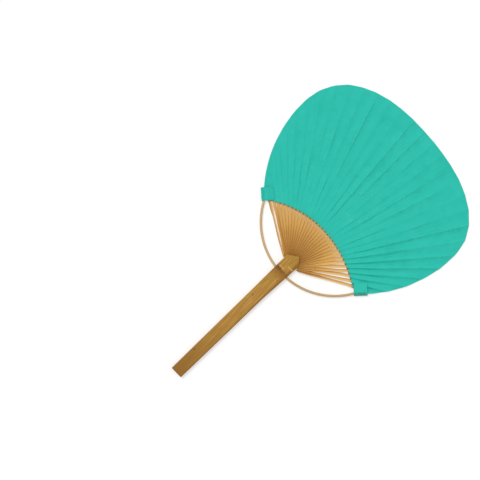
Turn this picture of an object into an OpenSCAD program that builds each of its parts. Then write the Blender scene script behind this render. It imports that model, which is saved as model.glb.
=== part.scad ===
// Round paper hand fan: one slat of bamboo split into ribs, a bow, two pasted sheets and two corner tabs.
// It lies on its back with its front up. X runs across it, Y from the handle to the top of the leaf.
// The origin is on the underside of the handle, below the centre that the ribs fan out from.

/* [Handle] */
// Distance from the butt of the handle to the centre of the fan of ribs
handle_reach = 153.8; // [110:0.1:190]
// Width of the handle at its butt
butt_w = 13.1; // [11:0.1:16]
// Width of the handle at its waist
waist_w = 14.2; // [12:0.1:16]
// Distance of the waist behind the centre of the ribs
waist_back = 40; // [20:1:80]
// Distance of the handle's middle line to the left of the ribs' centre
handle_shift = 1.3; // [0:0.1:2]
// Distance of the head's middle line to the left of the ribs' centre
head_shift = 0.4; // [0:0.1:0.5]
// Thickness of the slat
handle_t = 4.8; // [4.5:0.1:6]
// Radius of the handle's long edges
edge_r = 0.8; // [0.4:0.1:1]
// Width of the flat strip down the middle of the rounded underside
sole_w = 7; // [5:0.5:9]
// Height of the underside's rounding at the edges
sole_rise = 0.4; // [0.1:0.1:0.6]
// Height by which the head stands above the ribs
head_step = 0.9; // [0.6:0.1:1.2]
// Bamboo left beside the outermost rib
head_cheek = 0.85; // [0.7:0.05:2]
// Length of the pointed end of the head
gable_rise = 7.5; // [4:0.5:9]
// Distance of the head's point to the right of the ribs' centre
gable_shift = 1.3; // [-2:0.1:2]
// How much further the head is cut back at its right shoulder than at its left
gable_skew = 1.2; // [0:0.1:2]
// Distance of the bamboo's node behind the centre of the ribs
node_back = 5.6; // [4.5:0.1:6]
// Length of the swelling at the node
node_len = 3.4; // [3:0.2:4]
// Height of the swelling at the node
node_rise = 0.35; // [0.1:0.05:0.6]

/* [Ribs] */
// Number of ribs
rib_n = 30; // [22:1:34]
// Angle of the outermost ribs from the middle of the fan
rib_spread = 61.4; // [58:0.1:62]
// Depth of a rib, from the skin of the bamboo inwards
rib_w = 3.2; // [2.6:0.1:3.4]
// Thickness of a rib, as split
rib_t = 0.45; // [0.35:0.01:0.5]
// Gap that the split leaves between two ribs
split_gap = 0.08; // [0.06:0.01:0.12]
// How much closer the ribs lie at both sides than in the middle
side_crowding = 0.18; // [0:0.01:0.2]
// How much closer the ribs lie on the left than on the right
left_crowding = 0.1; // [0:0.01:0.12]
// Tilt of the right-hand ribs under the paper
steep_tilt = 21; // [12:1:26]
// Tilt of the right-hand ribs between the head and the paper
open_tilt = 46; // [26:1:55]

/* [Leaf] */
// Width of the leaf
leaf_w = 215.2; // [190:0.1:240]
// Distance of the leaf's and the bow's middle line to the right of the ribs' centre
leaf_shift = 1; // [0:0.1:1.2]
// Distance of the leaf's widest line from the centre of the ribs
widest_y = 123; // [112:0.5:135]
// Height of the leaf above its widest line
crown_h = 68.6; // [55:0.1:85]
// Fullness of the shoulders, where 2 is an ellipse
crown_power = 2.34; // [2:0.02:2.8]
// Fullness of the sides below the widest line
side_power = 1.92; // [1.6:0.02:2.1]
// Reach of the sides' curve below the widest line
side_h = 121; // [112:0.5:140]
// How much lower the paper is cut at the right shoulder than in the middle
shoulder_lean = 4.2; // [0:0.1:12]
// Distance of the leaf's inner edge from the centre of the ribs
leaf_start = 50.8; // [46:0.1:56]
// Thickness of one sheet of paper
paper_t = 0.15; // [0.1:0.01:0.2]
// Distance of the ribs' tips from the rim of the paper
tip_back = 2; // [1:0.5:4]

/* [Bow] */
// Diameter of the bow
bow_d = 2.6; // [1.8:0.1:2.8]
// Clearance between the bow and its hole
bow_fit = 0.1; // [0.05:0.01:0.2]
// Distance of the bow's hole behind the centre of the ribs
bow_back = 9.6; // [9:0.1:14]
// Radius of the bow, to its middle line
bow_r = 73.8; // [70:0.1:78]
// Angle that each side of the bow bends through, up to the corner of the leaf
bow_sweep = 59.6; // [58:0.1:61]

/* [Corner patches] */
// Length of a folded corner tab along its fold
patch_len = 13.5; // [11:0.5:16]
// Reach of the tab over the leaf
patch_reach = 11; // [9:0.5:13]
// Thickness of the tab's paper
patch_t = 0.2; // [0.15:0.01:0.3]
// Angle between the end of the bow and the fold of the left tab
left_toe = 19.6; // [10:0.1:22]
// Angle between the end of the bow and the fold of the right tab
right_toe = 12.1; // [10:0.1:22]

/* [Hidden] */

bamboo = [0.75, 0.56, 0.29];
pale_bamboo = [0.83, 0.68, 0.46];
turquoise = [0.19, 0.75, 0.68];
deep_turquoise = [0.16, 0.70, 0.63];

slice = 0.02;         // length of the thin slices that a hull joins
waist_h = 1;          // length of the straight piece at the waist
glue = 0.03;          // gap between two pasted faces
bore_fn = 48;
edge_fn = 24;
bow_fn = 180;
bow_flats = 12;       // flats left round the bow, which is whittled by hand

// Spread of the ribs: each rib has a place s from -1 on the left to 1 on the right
rib_gain = rib_spread / (1 - side_crowding / 3);
function rib_s(i) = 2 * i / (rib_n - 1) - 1;
function rib_angle(s) =
    rib_gain * (s - side_crowding * pow(s, 3) / 3 + left_crowding * (s * s - 1) / 2);
tightest = rib_gain * (1 - side_crowding - left_crowding) * 2 / (rib_n - 1) * PI / 180;

// The ribs leave the head on edge and untwist as the room between them grows
root_r = (rib_t + split_gap / 2) / tightest;
edgewise_r = (rib_t + split_gap) / tightest;
function louvre(r) = asin(min(1, edgewise_r / r));
function smooth(a, b, v) = let (u = min(1, max(0, (v - a) / (b - a)))) u * u * (3 - 2 * u);

// Handle and head
head_w = 2 * (root_r * sin(rib_spread) + head_cheek);
shoulder_y = root_r * cos(rib_spread) + 2.9;
head_y = shoulder_y + gable_rise;
rib_root_z = handle_t - head_step - rib_w / 2;
function past_waist(y) = (y + waist_back) / (head_y + waist_back);
function slat_w(y) =
    y < -waist_back
    ? waist_w + (butt_w - waist_w) * (y + waist_back) / (waist_back - handle_reach)
    : waist_w + (head_w - waist_w) * past_waist(y);
function slat_mid(y) = -handle_shift + (handle_shift - head_shift) * max(0, past_waist(y));

// Bow: one even bend through the head, with ends that go on inside the corners of the leaf
bow_z = handle_t / 2;
bored = slat_w(-bow_back) / 2 + leaf_shift - slat_mid(-bow_back);
bow_rise = bow_r - sqrt(bow_r * bow_r - bored * bored);
function on_bow(a) = [bow_r * sin(a), bow_r * (1 - cos(a)) - bow_back];
bow_end = on_bow(bow_sweep);
rib_room = (bow_end.x - leaf_shift) * cos(rib_spread) - bow_end.y * sin(rib_spread);
rib_gap = 0.6;        // room between the bow's left end and the outermost rib
bow_tuck =
    (rib_room - rib_w / 2 - bow_d / 2 - rib_gap) / -cos(rib_spread + bow_sweep) / bow_r * 180 / PI;
bow_tip = on_bow(bow_sweep + bow_tuck);

// Corner of the leaf, where the bow goes in between the sheets, and the slanting fold of its tab.
// Both are taken on the right, from the leaf's middle line.
corner = bow_end + [1.6, 1.4];
function fold_a(side) = bow_sweep - (side < 0 ? left_toe : right_toe);
function fold_dir(side) = [cos(fold_a(side)), sin(fold_a(side))];
function fold_out(side) = [sin(fold_a(side)), -cos(fold_a(side))];
patch_from = -0.5;
patch_to = patch_from + patch_len;
pocket_to = patch_from + patch_len * 0.6;
pocket_fit = 0.1;     // room between the bow and the sheets round its end
tab_lift = patch_t + glue;
pocket_low = tab_lift;
bow_tip_z = pocket_low + paper_t + pocket_fit + bow_d / 2;
bow_dip = asin((bow_z - bow_tip_z) / (bow_tip.y + bow_back));
bow_corner_z = bow_z - (bow_end.y + bow_back) * sin(bow_dip);
pocket_high = bow_corner_z + bow_d / 2 + pocket_fit + paper_t;
patch_h = pocket_high + tab_lift;
function from_corner(p) = [abs(p.x - leaf_shift), p.y] - corner;
function along_fold(p) = from_corner(p) * fold_dir(sign(p.x));
function past_fold(p) = from_corner(p) * fold_out(sign(p.x));
// The tab is level from its fold up to here
function plateau(side) = (bow_tip - corner) * fold_out(side) - bow_d / 2 - pocket_fit;

// Inner edge of the leaf: an arc through both corners
edge_drop = leaf_start - corner.y;
edge_r_leaf = (corner.x * corner.x + edge_drop * edge_drop) / (2 * edge_drop);
edge_y = leaf_start - edge_r_leaf;
function r_in(a) =
    let (q = leaf_shift * sin(a) + edge_y * cos(a), m = leaf_shift * leaf_shift + edge_y * edge_y)
    q + sqrt(q * q + edge_r_leaf * edge_r_leaf - m);

// Rim of the leaf: two halves of a full, soft oval, seen from the centre of the ribs
half_w = leaf_w / 2;
function beyond_rim(x, y) =
    let (out = (x - leaf_shift) / half_w,
         h = y > widest_y ? crown_h - shoulder_lean * out : side_h,
         n = y > widest_y ? crown_power : side_power)
    pow(abs(out), n) + pow(abs(y - widest_y) / h, n) > 1;
function rim_r(a, lo = 20, hi = 300, n = 26) =
    let (mid = (lo + hi) / 2)
    n == 0 ? mid
    : beyond_rim(mid * sin(a), mid * cos(a)) ? rim_r(a, lo, mid, n - 1)
    : rim_r(a, mid, hi, n - 1);
function fold_r(a) =
    let (side = sign(a), out = fold_out(side), d = sin(abs(a)) * out.x + cos(a) * out.y)
    d > 0.05 ? (corner * out + side * leaf_shift * out.x) / d : 1000;
function r_out(a) = min(rim_r(a), fold_r(a));
function last_a(side) = atan2(corner.x + side * leaf_shift, corner.y) - 0.35;

// Tilt and height of a rib, at its place s
function steepness(s) = smooth(0.3, 0.75, s);
function leaf_tilt(s) =
    max(louvre(r_in(rib_angle(s)) - 3), steep_tilt * steepness(s));
function openness(s) = abs(s) == 1 ? 1 : steepness(s);
function tilt(s, r) =
    let (open = max(louvre(r), open_tilt * openness(s)),
         u = smooth(0.6, 1, r / (r_in(rib_angle(s)) - 3)))
    max(louvre(r), open + (leaf_tilt(s) - open) * u);
function lift(s) = tab_lift * smooth(0.75, 0.93, abs(s));
function leaf_z(s) =
    let (t = leaf_tilt(s))
    rib_w / 2 * sin(t) + rib_t / 2 * cos(t) + glue + paper_t + lift(s);
function rib_z(s, r) =
    rib_root_z + (leaf_z(s) - rib_root_z) * smooth(head_y, r_in(rib_angle(s)) - 3, r);

// Ribs
twist_n = 9;          // sections of a rib between the head and the paper
function tip_r(a) =
    let (da = asin(rib_w / 2 / leaf_start))
    min(r_out(a - da), r_out(a), r_out(a + da)) - tip_back;
function rib_rings(s) =
    let (a = rib_angle(s), start = r_in(a) - 3, last = edgewise_r / sin(9),
         scale_r = (start - root_r) / (last - root_r))
    concat(
        [root_r],
        [for (j = [1:twist_n]) root_r + (edgewise_r / sin(90 * pow(0.1, j / twist_n)) - root_r) * scale_r],
        [tip_r(a)]
    );
function rib_section(s, r) =
    let (a = rib_angle(s), t = tilt(s, r), z = rib_z(s, r),
         c = [r * sin(a), r * cos(a), z],
         across = [cos(a), -sin(a), 0],
         u = rib_w / 2 * (cos(t) * across + [0, 0, sin(t)]),
         v = rib_t / 2 * ([0, 0, cos(t)] - sin(t) * across))
    [c - u - v, c + u - v, c + u + v, c - u + v];
// The diagonals of the two broad faces match, so that a twisted rib keeps its thickness
function strip_faces(n) = concat(
    [[0, 3, 2], [0, 2, 1]],
    [for (j = [0:n - 2], k = [0:3])
        let (p = 4 * j + k, q = 4 * j + (k + 1) % 4)
        each (k == 0 ? [[q, q + 4, p], [q + 4, p + 4, p]] : [[q, q + 4, p + 4], [q, p + 4, p]])],
    [[4 * n - 4, 4 * n - 3, 4 * n - 2], [4 * n - 4, 4 * n - 2, 4 * n - 1]]
);
module rib(s) {
    rings = rib_rings(s);
    polyhedron([for (r = rings) each rib_section(s, r)], strip_faces(len(rings)));
}

// Handle
module station(y, like, rise = 0, inset = 0, h = slice) {
    x = (slat_w(like) + rise) / 2 - edge_r - inset;
    translate([slat_mid(like), y, 0]) {
        for (side = [-1, 1], z = [sole_rise + edge_r + inset, handle_t + rise - edge_r - inset])
            translate([side * x, 0, z]) rotate([-90, 0, 0]) cylinder(r = edge_r, h = h, $fn = edge_fn);
        translate([-sole_w / 2, 0, inset]) cube([sole_w, h, edge_r]);
    }
}
module slat() {
    hull() {
        station(-handle_reach, -handle_reach, inset = 0.4);
        station(0.6 - handle_reach, -handle_reach);
        station(-waist_back, -waist_back, h = waist_h);
    }
    hull() {
        station(-waist_back, -waist_back, h = waist_h);
        station(head_y - slice, head_y);
    }
    hull() {
        station(-node_back - node_len / 2, -node_back);
        station(-node_back, -node_back, rise = node_rise);
        station(node_len / 2 - node_back, -node_back);
    }
}
module gable_cut(side) {
    cut = gable_rise * 4;
    run = side * (slat_mid(head_y) - gable_shift) + head_w / 2;
    translate([gable_shift, head_y, -1])
        mirror([side < 0 ? 1 : 0, 0, 0])
            rotate(-atan2(gable_rise + side * gable_skew / 2, run))
                cube([cut, cut, handle_t + 2]);
}
module bamboo_frame() {
    color(bamboo) union() {
        difference() {
            slat();
            gable_cut(1);
            gable_cut(-1);
            translate([0, bow_rise / 2 - bow_back, bow_z]) rotate([0, 90, 0])
                cylinder(d = bow_d + bow_rise + 2 * bow_fit, h = head_w + 4, center = true, $fn = bore_fn);
        }
        for (i = [0:rib_n - 1]) rib(rib_s(i));
    }
}

// Bow
module bow() {
    color(pale_bamboo) translate([leaf_shift, -bow_back, bow_z]) rotate([-bow_dip, 0, 0])
        translate([0, bow_r, 0]) rotate(-90 - bow_sweep - bow_tuck)
            rotate_extrude(angle = 2 * (bow_sweep + bow_tuck), $fn = bow_fn)
                translate([bow_r, 0]) circle(d = bow_d, $fn = bow_flats);
}

// Leaf: the sheets are grids of radial lines that bend over the ribs and meet between them
ring_n = 4;           // rings of points from the inner edge to the rim
corner_n = 4;         // radial lines beyond the outermost rib
fold_n = 16;          // facets round the fold of a corner tab
between = [0.2, 0.8];
function ring_r(a, j) =
    let (lo = r_in(a), hi = r_out(a), rim = min(tip_back * 0.8, (hi - lo) * 0.3))
    j == ring_n - 1 ? hi : lo + (hi - rim - lo) * j / (ring_n - 2);
function rib_line(s, off, j) =
    let (a0 = rib_angle(s), a1 = a0 + asin(off / ring_r(a0, j)),
         r = ring_r(a1, j), a = a0 + asin(off / r))
    [r * sin(a), r * cos(a)];
// Height of the pasted paper's middle, and of the rib's face that it lies on, above or below
function line_mid(s, side) = leaf_z(s) + side * rib_w / 2 * sin(leaf_tilt(s));
function line_z(s, side, face, j) =
    line_mid(s, side) + (j == ring_n - 1 ? 0 : face * rib_t / 2 * cos(leaf_tilt(s)));
// Underside of the corner tab's front, from its fold to its free end
function tab_end_z(side) = let (s = side) line_z(s, 1, 1, 0) + 2 * glue + paper_t;
function tab_z(side, n) =
    pocket_high + glue
    + (tab_end_z(side) - pocket_high)
    * min(1, max(0, (n - plateau(side)) / (-patch_reach - plateau(side))));
// Face of the pocket that holds the end of the bow
function pocket_z(p, face) =
    let (side = sign(p.x), m = along_fold(p), n = past_fold(p),
         open = min(1, max(0, (patch_to - m) / (patch_to - pocket_to))),
         wall = face > 0 ? tab_z(side, n) - glue - paper_t : pocket_low + paper_t,
         shut = leaf_z(side) + face * glue)
    shut + (wall - shut) * open;
function with_z(p, z) = [p.x, p.y, z];
function edge_off(s, side, face) =
    let (t = leaf_tilt(s)) side * (rib_w / 2 * cos(t) + glue) - face * rib_t / 2 * sin(t);
function rib_column(i, side, face) =
    let (s = rib_s(i), off = edge_off(s, side, face), outer = abs(s) == 1 && sign(s) == side)
    [for (j = [0:ring_n - 1])
        let (p = rib_line(s, off, j), z = line_z(s, side, face, j) + face * glue)
        with_z(p, !outer ? z : face > 0 ? max(z, pocket_z(p, face)) : min(z, pocket_z(p, face)))];
function between_column(i, f, face) =
    let (s = rib_s(i), next = rib_s(i + 1), za = line_mid(s, 1), zb = line_mid(next, -1))
    [for (j = [0:ring_n - 1])
        let (a = rib_line(s, edge_off(s, 1, 0), j), b = rib_line(next, edge_off(next, -1, 0), j))
        with_z(a + (b - a) * f, za + (zb - za) * f + face * glue / 2)];
function corner_column(side, k, face) =
    let (a0 = rib_spread + asin(rib_w / 2 / r_in(side * rib_spread)),
         a = side * (a0 + (last_a(side) - a0) * k / corner_n))
    [for (j = [0:ring_n - 1])
        let (p = ring_r(a, j) * [sin(a), cos(a)])
        with_z(p, pocket_z(p, face))];
function leaf_columns(face) = concat(
    [for (k = [corner_n:-1:1]) corner_column(-1, k, face)],
    [for (i = [0:rib_n - 1]) each concat(
        [rib_column(i, -1, face), rib_column(i, 1, face)],
        i < rib_n - 1 ? [for (f = between) between_column(i, f, face)] : [])],
    [for (k = [1:corner_n]) corner_column(1, k, face)]
);
function sheet_faces(n) =
    let (m = ring_n, h = n * m)
    concat(
        [for (c = [0:n - 2], j = [0:m - 2])
            let (a = c * m + j, b = a + m)
            each [[a, a + 1, b + 1], [a, b + 1, b],
                [h + a, h + b + 1, h + a + 1], [h + a, h + b, h + b + 1]]],
        [for (c = [0:n - 2])
            let (a = c * m, b = a + m, e = a + m - 1, d = b + m - 1)
            each [[a, b, h + b], [a, h + b, h + a], [d, e, h + e], [d, h + e, h + d]]],
        [for (j = [0:m - 2])
            let (a = j, b = (n - 1) * m + j)
            each [[a + 1, a, h + a], [a + 1, h + a, h + a + 1],
                [b, b + 1, h + b + 1], [b, h + b + 1, h + b]]]
    );
module sheet(face) {
    columns = leaf_columns(face);
    points = [for (column = columns) each column];
    top = face > 0 ? [for (p = points) p + [0, 0, paper_t]] : points;
    bottom = face > 0 ? points : [for (p = points) p - [0, 0, paper_t]];
    polyhedron(concat(top, bottom), sheet_faces(len(columns)));
}
module front_leaf() { color(turquoise) sheet(1); }
module back_leaf() { color(turquoise) sheet(-1); }

// Corner tabs: a strip folded round the slanting edge of the leaf, open at its ends
function arc(r, from, to) = [for (k = [0:fold_n]) let (a = from + (to - from) * k / fold_n)
    [r * cos(a), patch_h / 2 + r * sin(a)]];
module tab_profile(side) {
    end_z = tab_z(side, -patch_reach);
    polygon(concat(
        [[-patch_reach, patch_t], [-patch_reach, 0]],
        arc(patch_h / 2, -90, 90),
        [[plateau(side), patch_h], [-patch_reach, end_z + patch_t]],
        [[-patch_reach, end_z], [plateau(side), patch_h - patch_t]],
        arc(patch_h / 2 - patch_t, 90, -90)
    ));
}
module corner_patch(side) {
    color(deep_turquoise) translate([leaf_shift, 0, 0]) mirror([side < 0 ? 1 : 0, 0, 0])
        translate([corner.x, corner.y, 0]) rotate(fold_a(side))
            translate([patch_to, 0, 0]) rotate([90, 0, -90])
                linear_extrude(patch_len) tab_profile(side);
}
module corner_patch_left() { corner_patch(-1); }
module corner_patch_right() { corner_patch(1); }

bamboo_frame();
bow();
front_leaf();
back_leaf();
corner_patch_left();
corner_patch_right();
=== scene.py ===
"""Dresses a round hand fan of turquoise paper and split bamboo, and lights it for a picture.

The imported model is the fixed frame. Detailed meshes take the place of its plain solids: the slat of bamboo
with its head and its split ribs, the bow, the two pasted sheets and the two folded corner tabs. A mesh is
built in millimetres and turned into metres when it is finished. The fan lies on its back: X runs across it,
Y from the handle to the top of the leaf, and the origin is below the centre that the ribs fan out from.
"""

import logging
import math
import random
from collections.abc import Callable, Iterable
from dataclasses import dataclass
from enum import Enum
from functools import cached_property

import bmesh
import bpy
from mathutils import Matrix, Vector, noise

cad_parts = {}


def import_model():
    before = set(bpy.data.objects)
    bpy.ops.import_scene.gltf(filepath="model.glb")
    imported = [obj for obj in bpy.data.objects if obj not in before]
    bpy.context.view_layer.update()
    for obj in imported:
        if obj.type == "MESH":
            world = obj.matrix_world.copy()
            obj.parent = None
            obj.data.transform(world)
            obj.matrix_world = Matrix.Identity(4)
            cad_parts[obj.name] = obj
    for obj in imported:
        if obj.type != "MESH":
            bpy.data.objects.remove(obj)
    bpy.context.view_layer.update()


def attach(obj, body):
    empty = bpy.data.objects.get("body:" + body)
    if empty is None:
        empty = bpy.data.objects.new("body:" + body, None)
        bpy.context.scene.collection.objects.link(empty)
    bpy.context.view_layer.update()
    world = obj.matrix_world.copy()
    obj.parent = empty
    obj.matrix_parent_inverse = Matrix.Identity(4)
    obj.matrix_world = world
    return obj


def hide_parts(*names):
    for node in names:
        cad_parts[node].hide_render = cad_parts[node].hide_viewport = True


LOG = logging.getLogger("hand_fan")
MM = 0.001


class Face(Enum):
    """The side of the leaf that a sheet of paper lies on."""

    FRONT = 1
    BACK = -1


class Corner(Enum):
    """The corner of the leaf that a folded tab closes."""

    LEFT = -1
    RIGHT = 1


def smooth(low: float, high: float, value: float) -> float:
    """Eases from 0 at low to 1 at high.

    Args:
        low: Value that gives 0.
        high: Value that gives 1.
        value: Value to ease.

    Returns:
        A share from 0 to 1.
    """
    share = min(1.0, max(0.0, (value - low) / (high - low)))
    return share * share * (3.0 - 2.0 * share)


def blend(start: float, end: float, share: float) -> float:
    """Returns the number that lies that share of the way from start to end."""
    return start + (end - start) * share


def drift(seed: float, along: float, across: float = 0.0) -> float:
    """Reads smooth noise, from about -1 to 1, that is the same in each run.

    Args:
        seed: Picks one of many patterns.
        along: Place in the pattern.
        across: Second place in the pattern.

    Returns:
        The noise there.
    """
    return noise.noise(Vector((along, across, seed * 7.31 + 0.37))) * 1.6


@dataclass(frozen=True)
class Wander:
    """The unevenness of hand work: its pattern of noise, how large it is, and its waves per unit."""

    pattern: float
    size: float
    pace: float

    def at(self, along: float, number: float = 0.0, across: float = 0.0) -> float:
        """Reads the unevenness at a place.

        Args:
            along: Place along the piece.
            number: Number of the rib, or side of the fan, each of which has a pattern of its own.
            across: Second place in the pattern.

        Returns:
            The unevenness, up to about its size in both directions.
        """
        return self.size * drift(self.pattern + number, along * self.pace, across)


Span = tuple[float, float]
Numbered = tuple[tuple[int, float], ...]
Placed = tuple[Vector, dict[str, float]]


@dataclass(frozen=True)
class FanPlan:
    """Where the ribs, the leaf and the bow lie, in millimetres and radians.

    Angles are taken at the centre that the ribs fan out from, from the middle line of the fan, and are
    positive to the right. A place is a rib's share of the fan, from -1 on the left to 1 on the right.
    """

    # The slat
    handle_reach: float = 153.8
    butt_width: float = 13.1
    waist_width: float = 14.2
    waist_back: float = 40.0
    handle_shift: float = 1.3
    head_shift: float = 0.4
    slat_thickness: float = 4.8
    sole_rise: float = 0.4
    head_step: float = 0.9
    head_cheek: float = 0.85
    gable_rise: float = 7.5
    gable_shift: float = 1.3
    gable_skew: float = 1.2
    shoulder_rise: float = 2.9
    node_back: float = 5.6
    # The ribs
    rib_count: int = 30
    rib_spread: float = math.radians(61.4)
    rib_depth: float = 3.2
    rib_thickness: float = 0.45
    split_gap: float = 0.08
    side_crowding: float = 0.18
    left_crowding: float = 0.1
    steep_tilt: float = math.radians(21)
    # The leaf
    leaf_width: float = 215.2
    leaf_shift: float = 1.0
    widest_y: float = 123.0
    crown_height: float = 68.6
    crown_power: float = 2.34
    side_power: float = 1.92
    side_height: float = 121.0
    shoulder_lean: float = 4.2
    leaf_start: float = 50.8
    paper: float = 0.15
    glue: float = 0.03
    tip_back: float = 2.0
    # The bow and the tabs
    bow_diameter: float = 2.6
    bow_fit: float = 0.1
    bow_back: float = 9.6
    bow_radius: float = 73.8
    bow_sweep: float = math.radians(59.6)
    bow_rib_gap: float = 0.6
    tab_length: float = 13.5
    tab_reach: float = 11.0
    tab_thickness: float = 0.2
    left_toe: float = math.radians(19.6)
    right_toe: float = math.radians(12.1)
    tab_from: float = -0.5
    pocket_share: float = 0.6
    corner_step: tuple[float, float] = (1.6, 1.4)
    # Where the paper starts and ends
    rib_cover: float = 3.0
    edge_skew: float = 1.05
    skew_reach: float = 45.0
    skew_fade: Span = (56.0, 63.0)
    corner_gap: float = math.radians(0.35)
    rim_search: Span = (20.0, 300.0)
    rim_accuracy: float = 0.001
    least_slant: float = 0.05
    # How ribs lie where they are bare
    steep_span: Span = (0.3, 0.75)
    lift_span: Span = (0.75, 0.93)
    settle_share: float = 0.68
    left_settle_share: float = 0.8
    sway_span: Span = (14.0, 30.0)
    sway_fade: float = 8.0
    flare_start: float = 12.0
    wide_split: float = 0.35
    wide_span: Span = (14.0, 26.0)
    wide_fade: Span = (3.0, 16.0)
    standing_tilt: float = 14.0
    # How ribs and creases wander under the paper
    tilt_wander: Wander = Wander(0.0, 0.95, 0.012)
    tilt_ripple: Wander = Wander(50.0, 0.35, 0.05)
    tilt_limits: Span = (0.08, 1.35)
    calm_drop: float = 0.3
    wander_run: float = 30.0
    flat_span: Span = (4.0, 20.0)
    flatness: float = 0.82
    crease_hold: float = 0.97
    crease_inside: float = 8.0
    crease_outside: float = 10.0
    crease_breaks: tuple[Wander, Wander] = (Wander(500.0, 0.25, 0.05), Wander(530.0, 0.25, 0.2))
    break_share: float = 0.35
    steep_crease: float = 0.65
    press_span: Span = (0.4, 3.2)
    press_share: float = 0.85
    press_wander: Wander = Wander(300.0, 0.3, 0.035)
    steep_press: float = 0.55
    # Single ribs: tilts in degrees, sways and flares, and creases with start, end and depth
    open_tilts: Numbered = (
        (0, 66.0),
        (1, 42.0),
        (24, 14.0),
        (25, 26.0),
        (26, 30.0),
        (27, 40.0),
        (28, 46.0),
        (29, 46.0),
    )
    sways: Numbered = ((0, -0.3), (1, 0.2), (25, -0.1), (26, 0.35), (27, -0.3), (28, 0.3))
    flares: Numbered = ((0, -1.35), (1, -0.3), (27, 0.5), (28, 0.9), (29, 1.4))
    creases: tuple[tuple[int, float, float, float], ...] = (
        (5, 72.0, 112.0, 0.5),
        (6, 62.0, 108.0, 0.6),
        (7, 88.0, 120.0, 0.75),
        (8, 104.0, 140.0, 0.6),
        (9, 116.0, 152.0, 0.8),
        (10, 66.0, 100.0, 0.8),
        (11, 102.0, 186.0, 1.0),
        (12, 60.0, 80.0, 0.4),
        (13, 66.0, 92.0, 0.5),
        (14, 62.0, 186.0, 1.0),
        (15, 102.0, 186.0, 0.9),
        (16, 150.0, 184.0, 0.9),
        (16, 94.0, 122.0, 0.6),
        (17, 58.0, 84.0, 0.5),
        (18, 76.0, 150.0, 0.9),
        (19, 116.0, 166.0, 0.9),
        (20, 64.0, 102.0, 1.0),
        (21, 112.0, 150.0, 0.7),
        (22, 70.0, 190.0, 0.8),
    )

    @staticmethod
    def own(table: Numbered, index: int) -> float:
        """Returns the value that a table holds for a rib, or 0."""
        return dict(table).get(index, 0.0)

    @cached_property
    def rib_gain(self) -> float:
        """Angle that one unit of a rib's place is worth in the middle of the fan."""
        return self.rib_spread / (1.0 - self.side_crowding / 3.0)

    @cached_property
    def tightest(self) -> float:
        """Angle between the two ribs that lie closest."""
        share = 1.0 - self.side_crowding - self.left_crowding
        return self.rib_gain * share * 2.0 / (self.rib_count - 1)

    @cached_property
    def root_radius(self) -> float:
        """Distance at which the ribs leave the slat."""
        return (self.rib_thickness + self.split_gap / 2.0) / self.tightest

    @cached_property
    def edgewise_radius(self) -> float:
        """Distance up to which the ribs stand on edge."""
        return (self.rib_thickness + self.split_gap) / self.tightest

    @cached_property
    def head_width(self) -> float:
        """Width of the slat where it is split."""
        return 2.0 * (self.root_radius * math.sin(self.rib_spread) + self.head_cheek)

    @cached_property
    def shoulder_y(self) -> float:
        """Place of the shoulders of the pointed head."""
        return self.root_radius * math.cos(self.rib_spread) + self.shoulder_rise

    @cached_property
    def head_y(self) -> float:
        """Place of the tip of the pointed head."""
        return self.shoulder_y + self.gable_rise

    @cached_property
    def root_z(self) -> float:
        """Height of the ribs' middle where they leave the slat."""
        return self.slat_thickness - self.head_step - self.rib_depth / 2.0

    def rib_place(self, index: int) -> float:
        """Returns a rib's place, from -1 on the left to 1 on the right."""
        return 2.0 * index / (self.rib_count - 1) - 1.0

    def rib_angle(self, place: float) -> float:
        """Finds where a rib points. The ribs lie closer at the sides.

        Args:
            place: Place of the rib, from -1 on the left to 1 on the right.

        Returns:
            Its angle.
        """
        crowding = self.side_crowding * place**3 / 3.0
        lean = self.left_crowding * (place * place - 1.0) / 2.0
        return self.rib_gain * (place - crowding + lean)

    def angle_of(self, index: int) -> float:
        """Returns the angle of a rib by its number."""
        return self.rib_angle(self.rib_place(index))

    def rib_step(self, index: int) -> float:
        """Returns the angle from one rib to the next, round the rib with a number."""
        place, half = self.rib_place(index), 1.0 / (self.rib_count - 1)
        return self.rib_angle(place + half) - self.rib_angle(place - half)

    def bare_end(self, place: float) -> float:
        """Returns the distance up to which the rib at a place is bare."""
        return self.inner_radius(self.rib_angle(place)) - self.rib_cover

    def past_waist(self, y: float) -> float:
        """Returns how far y lies from the waist, at 0, to the tip of the head, at 1."""
        return (y + self.waist_back) / (self.head_y + self.waist_back)

    def slat_width(self, y: float) -> float:
        """Finds how wide the handle and the head are at a place.

        Args:
            y: Place along the handle.

        Returns:
            The width.
        """
        if y < -self.waist_back:
            share = (y + self.handle_reach) / (self.handle_reach - self.waist_back)
            return blend(self.butt_width, self.waist_width, share)
        return blend(self.waist_width, self.head_width, self.past_waist(y))

    def slat_middle(self, y: float) -> float:
        """Returns the place of the middle line of handle and head at y."""
        return blend(-self.handle_shift, -self.head_shift, max(0.0, self.past_waist(y)))

    def louvre(self, radius: float) -> float:
        """Returns the tilt at which a rib just fills its share of the room at a radius."""
        return math.asin(min(1.0, self.edgewise_radius / radius))

    def steepness(self, place: float) -> float:
        """Returns how much steeper than usual the rib at a place lies, from 0 to 1."""
        return smooth(*self.steep_span, place)

    def leaf_tilt(self, place: float) -> float:
        """Returns the tilt of the rib at a place, where the paper starts."""
        return max(self.louvre(self.bare_end(place)), self.steep_tilt * self.steepness(place))

    def rib_tilt(self, index: int, radius: float) -> float:
        """Finds the tilt of a rib between the head and the paper, where a few stand open side by side.

        Args:
            index: Number of the rib, from the left.
            radius: Distance from the centre of the ribs.

        Returns:
            The tilt.
        """
        place = self.rib_place(index)
        filling = self.louvre(radius)
        bare = max(filling, math.radians(self.own(self.open_tilts, index)))
        settle = self.left_settle_share if index < 2 else self.settle_share
        share = smooth(settle, 1.0, radius / self.bare_end(place))
        return max(filling, blend(bare, self.leaf_tilt(place), share))

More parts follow.
